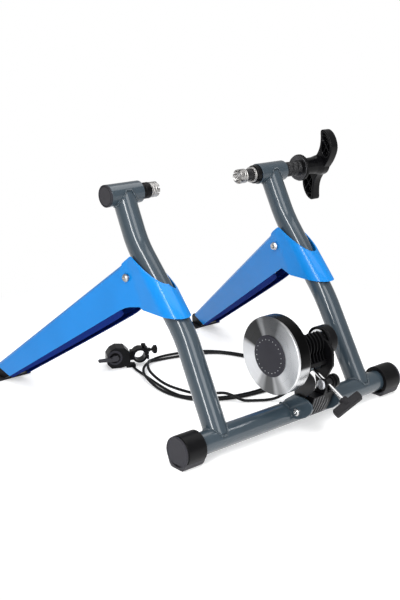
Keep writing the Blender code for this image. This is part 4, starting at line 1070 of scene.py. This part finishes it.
hinge = {"y": -32, "z": 43, "bolt": 4}
unit = {"y": -12, "z": 154, "near": -37, "far": 41, "cheek": 6, "drum": 27, "drumEnd": 71}
bracket = {"outline": ((17, 31, 2), (12, 29, 2), (-7, 25, 8), (-36, 30.5, 8), (-52, 38, 6), (-64, 49, 6),
                       (-68, 58, 6), (-66, 66, 5), (-54, 72, 6), (-40, 73.5, 4), (-23, 74, 4), (-2, 58, 6)),
           "web": ((16, 33), (12, 43), (-1, 57), (-7, 60), (-3, 51), (7, 43), (9, 32)),
           "cheeks": ((-24, -20), (48, 52)), "welds": (("Near", -24.6), ("Far", 52.6)), "bead": (2.0, 1.9)}
arm = {"low": -13.4, "high": 37, "trunnion": (-57, 94), "fan": 6, "fanStep": 7.4, "fin": 1.3,
       "outline": ((-14, 44), (-17, 36), (-24, 31), (-38, 31), (-46, 38), (-56, 58), (-66, 84)),
       "back": ((-44, 84, 3), (-36, 66, 5), (-20, 56, 4))}


def sharpArc(*values):
    # an arc whose points filleted leaves alone
    return [(*point, 0) for point in arc(*values)]


def tubeHole(room, sides):
    return rod("tube", -60, 80, crossTube["radius"] + room, 0, crossTube["height"], sides)


def hingeHole(start=-60):
    return rod("bolt", start, 80, hinge["bolt"] + 0.3, hinge["y"], hinge["z"], 32)


def makeBracket(values):
    cheeks = [rounded(prism("unitBracket", filleted(values["outline"], 3, 5), low, high), 0.7, 3, 40)
              for low, high in values["cheeks"]]
    made = join(*cheeks, prism("web", filleted(values["web"], 2), -22, 50))
    settle(cut(made, tubeHole(0.1, 72), hingeHole()), "slatePaint", "frame", "unit_bracket")
    seam = arc(0, crossTube["height"], crossTube["radius"] + 0.6, 62, 190, 30)
    for label, x in values["welds"]:
        weld("bracket" + label + "Weld", [(x, *point) for point in seam], False, *values["bead"], 7)


def makeArm(values):
    y, z = values["trunnion"]
    outline = [*values["outline"], *sharpArc(y, z, 10, 195, 20, 24), *values["back"]]
    made = prism("tensionArm", filleted(outline, 3), values["low"], values["high"])
    cut(made, block("slot", (15.7, -90, 78), (31.3, -30, 120)),
        block("slim", (-30, -90, 76), (10, -30, 120)), tubeHole(0.3, 64), hingeHole(),
        rod("pin", 0, 60, 3.8, y, z, 32))
    settle(rounded(made, 0.8, 2, 40), "blackPlastic", "frame", "tension_arm")
    fins = []
    for index in range(values["fan"]):
        x = values["low"] + 3 + index * values["fanStep"]
        top = 74 if x < 12 else 80
        outline = [(-38, 30.2), (-46.7, 37.2), (-56.8, 57.6), (-62.6, top), (-58, top), (-50, 58), (-42, 42)]
        fins.append(prism("armFins", outline, x, x + values["fin"]))
    # the black fins are coloured pale grey as a painted highlight on their edges
    settle(merge(*fins), "finHighlightGrey", "frame")


makeBracket(bracket)
makeArm(arm)
print("bracket and arm done")


# tilting half of the resistance unit

housing = {"near": ((-42, 121.3), (-42, 134), (-30, 150), (-28, 160), (-21, 168), (-12, 171), (-3, 168),
                    (3, 161), (5, 151), (2, 138), (-2, 121.3)),
           "far": ((-12, 93), (0, 118), (6, 140), (6, 153), (2, 163), (-5, 169), (-12, 171), (-24, 168),
                   (-40, 160), (-50, 149), (-52, 140), (-53, 119), (-44, 103), (-37, 90)),
           "ribs": 5, "ribStep": 8, "rib": 2.4}


def makeHousing(values):
    y, z = unit["y"], unit["z"]
    near, far, cheek = unit["near"], unit["far"], unit["cheek"]
    made = rounded(prism("unitHousing", filleted(values["near"], 4), near, near + cheek), 1.0, 3, 40)
    ear = sharpArc(hinge["y"], hinge["z"], 9, 180, 360, 19)
    join(made, rounded(prism("far", filleted([*ear, *values["far"]], 5), far, far + cheek), 1.0, 3, 40))
    join(made, block("floor", (near + 3, -41, 121.5), (far + 3, -3, 128.5)))
    join(made, prism("shroud", arc(y, z, 21, 96, 255, 41) + arc(y, z, 17, 255, 96, 41), near + 3, far + 3))
    join(made, prism("ear", arc(-20, 113, 8, 180, 360, 19) + [(-12, 124), (-28, 124)], 4.5, 10))
    outline = arc(y, z, 25, 104, 205, 28) + [(-41.5, 124), (-30, 124)] + arc(y, z, 19.5, 225, 104, 28)
    for index in range(values["ribs"]):
        place = 2 + values["ribStep"] * index
        join(made, rounded(prism("rib", outline, place, place + values["rib"]), 0.6, 2, 40))
    cut(made, rod("seat", -60, near + 20, 11, y, z, 48), rod("seat", far - 8, 80, 11, y, z, 48),
        rod("pin", 0, 80, 4.3, -20, 113, 32), hingeHole(0))
    settle(made, "blackPlastic", "unit", "unit_housing", sharp=40)


def makeUnitPlate():
    outline = sharpArc(hinge["y"], hinge["z"], 9, 180, 360, 19)
    outline += [(-15, 92, 4), (-5, 121, 0), (-50, 121, 2), (-61, 115, 4), (-67, 104, 6), (-64, 92, 6),
                (-54, 80, 6), (-41, 70, 4)]
    plate = rounded(prism("unitPlate", filleted(outline, 0), -17, -14), 0.5, 2, 40)
    join(plate, rod("boss", -19.7, -15, 8, hinge["y"], hinge["z"], 40),
         block("flange", (-15.5, -39, 118), (2, -8, 121)))
    settle(cut(plate, hingeHole()), "blackMetal", "unit", "unit_plate")


def makeHinge():
    y, z = hinge["y"], hinge["z"]
    turnedPiece("hingeBolt", "brightSteel", "frame", "hinge_bolt", (y, z),
                [(57, 0), (57, 4), (-24.3, 4, 0), (-24.3, 7, 0.3), (-26.2, 6.7, 1), (-28, 4.8, 1.4),
                 (-28, 2.8, 0.2), (-26, 2.6, 0), (-26, 0)], 0.2)
    nut = rounded(rod("hingeNut", 52.3, 58.5, 7.5, y, z, 6), 0.6, 2, 40)
    settle(cut(nut, hingeHole(0)), "brightSteel", "frame", "hinge_nut")


makeHousing(housing)
makeUnitPlate()
makeHinge()


# flywheel, roller and brake drum

flywheel = {"radius": 69.5, "back": -45, "face": -73.8, "cap": 37, "dots": 22, "dotRing": 29.8}


def unitPiece(name, finish, body, node, profile, soft, sides, sharp=34):
    turnedPiece(name, finish, body, node, (unit["y"], unit["z"]), profile, soft, sides, sharp)


def makeSpinning(values):
    r = values["radius"]
    back, face, hub = values["back"], values["face"], values["cap"]
    front = face + 5.3
    deep = back - 10
    # the rim and the face carry painted reflections in their colours
    unitPiece("flywheelBody", "polishedRim", "spinning", "flywheel_body",
              [(front, 6.3, 0), (front, r, 0.7), (back, r, 2), (back, r - 9.5, 0.8), (deep, r - 12.5, 2),
               (deep, 18, 2), (back, 16, 0.8), (back, 6.3, 0)], 0, 128)
    unitPiece("flywheelFace", "turnedSilver", "spinning", "flywheel_face",
              [(front - 0.3, 6.3, 0), (front - 0.3, r - 0.5, 0.3), (face + 1.2, r - 0.5, 0.4),
               (face + 0.6, r - 1.4, 0.3), (face, hub - 1.5, 0), (face, 6.3, 0)], 0, 128, 20)
    unitPiece("hubCap", "greyPlastic", "spinning", "hub_cap",
              [(face - 0.3, 0), (face - 0.3, hub, 0.2), (face - 1.2, hub, 0.5), (face - 1.9, hub - 1.2, 0.7),
               (face - 2.3, hub - 4, 1), (face - 2.9, 18, 2), (face - 3.2, 0)], 0, 96)
    dots = runTree("hubDots", studRing, "lightPlastic",
                   {"Count": values["dots"], "Reach": values["dotRing"], "Stud": 0.8, "Height": 0.6,
                    "Centre": (face - 2.55, unit["y"], unit["z"])})
    settle(dots, "lightPlastic", "spinning")
    unitPiece("rollerShaft", "brightSteel", "spinning", "roller_shaft",
              [(face + 1.5, 0), (face + 1.5, 6), (-29.5, 6, 0), (-29.5, 15, 0.8), (40, 15, 0.8), (40, 6, 0),
               (66, 6), (66, 0)], 0.4, 72)


def makeDrum():
    r, end = unit["drum"], unit["drumEnd"]
    start = unit["far"] + unit["cheek"] + 0.3
    unitPiece("drumShell", "blackPlastic", "unit", "drum_shell",
              [(start, r - 2, 0), (start, r, 0.3), *groove(start + 3, start + 5.8, r, 0.8, 0.8, 0.3),
               (end, r, 3), (end, r - 5, 0.4), (end - 0.8, r - 6, 0.4), (end - 0.8, 5, 0.4), (end - 2, 5, 0),
               (end - 2, r - 2, 0)], 0, 80)
    gland = softLathe("cableGland", [(0, 0), (0, 5.5, 0.4), (6, 5.5, 0.6), (7, 4.8, 0.4), (8, 5.0, 0.4),
                                     (14, 4, 0.8), (14, 0)], glandBase, glandWay, 0.3, 32)
    settle(gland, "blackPlastic", "unit", "cable_gland")


makeSpinning(flywheel)
makeDrum()
print("resistance unit done")


# tension screw

tension = {"barrel": (-20, 113), "x": 23.5, "reach": 98, "bar": 57, "thick": 15, "twist": -54}
trunnionY, trunnionZ = arm["trunnion"]
rodWay = Vector((0, trunnionY - tension["barrel"][0], trunnionZ - tension["barrel"][1])).normalized()
barrelAt = Vector((tension["x"], *tension["barrel"]))


def makeTension(values):
    barrel = turned("crossBarrel", [(5, 0), (5, 4), (10.3, 4, 0), (10.3, 7, 0.7), (40.7, 7, 0.7),
                                    (40.7, 4, 0), (46.5, 4), (46.5, 0)], *values["barrel"], 0.3)
    cut(barrel, roundBar(-20, 20, 4.3, barrelAt, rodWay))
    settle(barrel, "greyBarrel", "barrel", "cross_barrel")
    reach = values["reach"] - 8
    stem = lathe("tensionRod", [(-9, 0), (-9, 3.9), (reach, 3.9), (reach, 0)], barrelAt, rodWay, 40)
    settle(stem, "brightSteel", "tension_screw", "tension_rod", sharp=50)
    half = values["thick"] / 2
    knob = block("tensionKnob", (-half, -values["bar"] / 2, -half), (half, values["bar"] / 2, half))
    rounded(knob, 3.2, 4, 40)
    origin, up = (0, 0, 0), (0, 0, 1)
    collar = filleted([(-half - 6, 0, 0), (-half - 6, 8, 1), (0, 9, 0), (0, 0, 0)], 0)
    cut(join(knob, lathe("collar", collar, origin, up, 40)), roundBar(-30, -7.7, 4.3, origin, up))
    turn = Matrix((Vector((1, 0, 0)), rodWay.cross(Vector((1, 0, 0))), rodWay)).transposed().to_4x4()
    twist = Matrix.Rotation(math.radians(values["twist"]), 4, "Z")
    knob.data.transform(Matrix.Translation(barrelAt + rodWay * values["reach"]) @ turn @ twist)
    settle(knob, "rubber", "tension_screw", "tension_knob")
    trunnion = turned("trunnionBlock", [(16, 0), (16, 8, 0.6), (31, 8, 0.6), (31, 3.5, 0), (42, 3.5),
                                        (42, 0)],
                      trunnionY, trunnionZ, 0.2)
    cut(trunnion, roundBar(-20, 20, 4.8, (values["x"], trunnionY, trunnionZ), rodWay))
    settle(trunnion, "blackMetal", "trunnion", "trunnion_block")
    screw = turned("trunnionScrew", [(15.7, 0), (15.7, 3.5), (9.7, 3.5, 0), (9.7, 9.4, 0.4), (8.6, 9.2, 0.6),
                                     (7.2, 6.6, 2), (6.8, 0)], trunnionY, trunnionZ, 0.1)
    for lean in (30, 120):
        slotCut = block("slot", (4, -0.8, -4.4), (8.9, 0.8, 4.4))
        slotCut.data.transform(Matrix.Rotation(math.radians(lean), 4, "X"))
        cut(screw, shifted(slotCut, 0, trunnionY, trunnionZ))
    settle(screw, "zincPlate", "frame", "trunnion_screw")
    turnedPiece("roundBoss", "blackPlastic", "frame", "round_boss", arm["trunnion"],
                [(37.3, 3.8, 0), (37.3, 12.5, 0.8), (44.6, 12.5, 2), (46, 10.5, 0.8), (46, 5.2, 0.4),
                 (45, 4.8, 0.2), (45, 0), (42.3, 0), (42.3, 3.8, 0)], 0, 64)


makeTension(tension)
print("tension screw done")


# shifter on the floor

shifterSizes = {
    "body": ((-24, 10), (-15, 0.3), (5, 0.3), (22, 5), (26, 18), (24, 33), (13, 44), (-5, 45.5), (-16, 40),
             (-24, 29)),
    "tail": ((16, 0.3), (36, 0.3), (36, 6.6), (16, 9)),
    "lever": ((-44, 21), (-42, 19.5), (-14, 19.5), (-3, 20), (0, 25), (-3, 31), (-12, 31), (-16, 27),
              (-42, 25.5), (-44, 24)),
    "ears": ((58.5, 29.5), (53, 36), (62, 39), (66, 34), (66, 12), (60, 14)),
    "neck": ((26.3, 13), (26.3, 33), (35, 33), (35, 13)),
    "split": ((50, 21.6), (80, 21.6), (80, 24.4), (50, 24.4)),
    "wing": ((76, 22), (83, 22), (85, 27), (85, 35), (83, 40), (76, 40)),
    "leverAxis": (-8, 0, 25), "barAxis": (46, 0, 23)}
sideways = (0, 1, 0)


def acrossPrism(name, outline, near, far, soft=1.5):
    # outline of (along, height), extruded across the shifter
    made = prism(name, [(-along, height) for along, height in filleted(outline, soft, 4)], near, far)
    made.data.transform(Matrix.Rotation(math.pi / 2, 4, "Z"))
    return made


def settleShifter(target, finish, body, node):
    target.data.transform(shifterPlace)
    settle(target, finish, body, node, sharp=36)


def makeShifter(values):
    pivot = values["leverAxis"]
    bar = values["barAxis"]
    body = rounded(acrossPrism("shifterBody", values["body"], -17, 17, 3), 2.5, 4, 40)
    join(body, rounded(acrossPrism("tail", values["tail"], -17.5, -2, 1), 1.2, 3, 40))
    settleShifter(cut(body, roundBar(-30, -9, 3.3, pivot, sideways, 40)), "blackPlastic", "frame",
                  "shifter_body")
    ring = softLathe("shifterRing", ringOf(-19.5, -17.3, 15.5, 11), pivot, sideways, 0.4, 64)
    settleShifter(ring, "greyPlastic", "frame", "shifter_ring")
    lever = rounded(acrossPrism("shifterLever", values["lever"], -27, -19.8), 1.0, 3, 40)
    join(lever, roundBar(-21, -9.3, 3, pivot, sideways, 40))
    settleShifter(lever, "padGrey", "lever", "shifter_lever")
    grip = softLathe("shifterClamp", [(-12, 11.3, 0.5), (-12, 16, 1.4), (12, 16, 1.4), (12, 11.3, 0.5)], bar,
                     sideways, 0.5, 64)
    join(grip, rounded(acrossPrism("ears", values["ears"], -9, 9), 0.8, 2, 40))
    join(grip, rounded(acrossPrism("neck", values["neck"], -8, 8), 0.8, 2, 40))
    cut(grip, roundBar(-30, 30, 11.3, bar, sideways, 64), acrossPrism("split", values["split"], -20, 20, 0))
    join(grip, softLathe("knob", [(-2, 0), (-2, 2.5), (3, 2.5), (3, 5, 1), (8, 5, 1), (8, 0)], (55, 0, 37.6),
                         (0, 0, 1), 0.4, 40))
    settleShifter(grip, "blackPlastic", "frame", "shifter_clamp")
    screw = softLathe("thumbScrew", [(66.3, 0), (66.3, 4.5), (69, 4.5), (69, 3), (74, 3), (74, 6), (78, 6),
                                     (78, 0)],
                      (0, 0, 31), (1, 0, 0), 0.4, 40)
    join(screw, rounded(acrossPrism("wing", values["wing"], -3, 3, 2), 1.2, 3, 40))
    settleShifter(screw, "blackPlastic", "bar_screw", "thumb_screw")


makeShifter(shifterSizes)
print("shifter done")


# nodes that stay as packed get their finish here

carried = {"right_thread_insert": "blackMetal", "near_bearing": "brightSteel", "far_bearing": "brightSteel",
           "brake_rotor": "brightSteel", "magnet_carrier": "blackMetal"}
for node, finish in carried.items():
    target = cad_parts[node]
    target.data.materials.clear()
    target.data.materials.append(paints[finish])


# floor, lights and background

studio = {"sky": 0.44, "top": 0.34, "floor": 0.86, "lift": 0.40, "near": 0.42, "far": 0.85, "half": 12,
          "sink": 0.0005, "aim": (0, 150, 200)}
lamps = (
    {"name": "strip", "spot": (-1900, -900, 1350), "size": (0.34, 2.4), "power": 42},
    {"name": "soft", "spot": (-380, -2050, 1250), "size": (1.10, 2.4), "power": 28},
    {"name": "overhead", "spot": (300, 100, 2300), "size": (2.2, 2.2), "power": 30},
)


def makeFloor(values):
    # lit floor near the trainer, pure white far from it
    bm = bmesh.new()
    bmesh.ops.create_grid(bm, x_segments=1, y_segments=1, size=values["half"])
    mesh = bpy.data.meshes.new("floor")
    bm.to_mesh(mesh)
    bm.free()
    made = inScene("floor", mesh)
    made.location = (0, 0, -values["sink"])
    material, tree, shader = nodesOf("floorWhite")
    feed(tree, shader, {"Base Color": (values["floor"],) * 3 + (1,), "Roughness": 0.9,
                        "Specular IOR Level": 0.1})
    plainFloor = shader.outputs["BSDF"]
    ray = linked(tree, "ShaderNodeLightPath")
    seen = linked(tree, "ShaderNodeMath", {0: ray["Is Camera Ray"], 1: ray["Is Glossy Ray"]},
                  operation="MAXIMUM")["Value"]
    glow = linked(tree, "ShaderNodeEmission", {"Strength": values["lift"]})
    lifted = linked(tree, "ShaderNodeAddShader", {0: plainFloor, 1: glow["Emission"]})
    nearFloor = linked(tree, "ShaderNodeMixShader", {"Fac": seen, 1: plainFloor, 2: lifted["Shader"]})
    place = linked(tree, "ShaderNodeTexCoord")["Object"]
    reach = linked(tree, "ShaderNodeVectorMath", {0: place}, operation="LENGTH")
    away = linked(tree, "ShaderNodeMapRange", {"Value": reach["Value"], "From Min": values["near"],
                                               "From Max": values["far"]}, interpolation_type="SMOOTHSTEP")
    far = linked(tree, "ShaderNodeMath", {0: away["Result"], 1: seen}, operation="MULTIPLY")["Value"]
    white = linked(tree, "ShaderNodeEmission", {"Strength": 1.0})
    whole = linked(tree, "ShaderNodeMixShader", {"Fac": far, 1: nearFloor["Shader"], 2: white["Emission"]})
    feed(tree, tree.nodes["Material Output"], {"Surface": whole["Shader"]})
    mesh.materials.append(material)


def makeWorld(values):
    # the camera sees white, the trainer a grey sky that darkens upwards
    world = bpy.data.worlds.new("studio")
    bpy.context.scene.world = world
    world.use_nodes = True
    tree = world.node_tree
    sky = tree.nodes["Background"]
    white = linked(tree, "ShaderNodeBackground", {"Strength": 1.0, "Color": (1, 1, 1, 1)})
    parts = linked(tree, "ShaderNodeSeparateXYZ", {"Vector": linked(tree,
                                                                    "ShaderNodeTexCoord")["Generated"]})
    side, top = (values["sky"],) * 3, (values["top"],) * 3
    feed(tree, sky, {"Color": rampBetween(tree, parts["Z"], ((0.0, side), (0.35, side), (0.9, top)))})
    ray = linked(tree, "ShaderNodeLightPath")
    pick = linked(tree, "ShaderNodeMixShader", {"Fac": ray["Is Camera Ray"], 1: sky.outputs["Background"],
                                                2: white["Background"]})
    feed(tree, tree.nodes["World Output"], {"Surface": pick["Shader"]})


def makeLamp(values):
    data = bpy.data.lights.new(values["name"], "AREA")
    data.shape = "RECTANGLE"
    data.size, data.size_y = values["size"]
    data.energy = values["power"]
    made = inScene(values["name"], data)
    made.location = toFrame @ Vector(values["spot"])
    aim = toFrame @ Vector(studio["aim"]) - made.location
    made.rotation_euler = aim.to_track_quat("-Z", "Y").to_euler()


makeFloor(studio)
makeWorld(studio)
for lamp in lamps:
    makeLamp(lamp)
bpy.context.scene.view_settings.view_transform = "Standard"
print("studio ready")
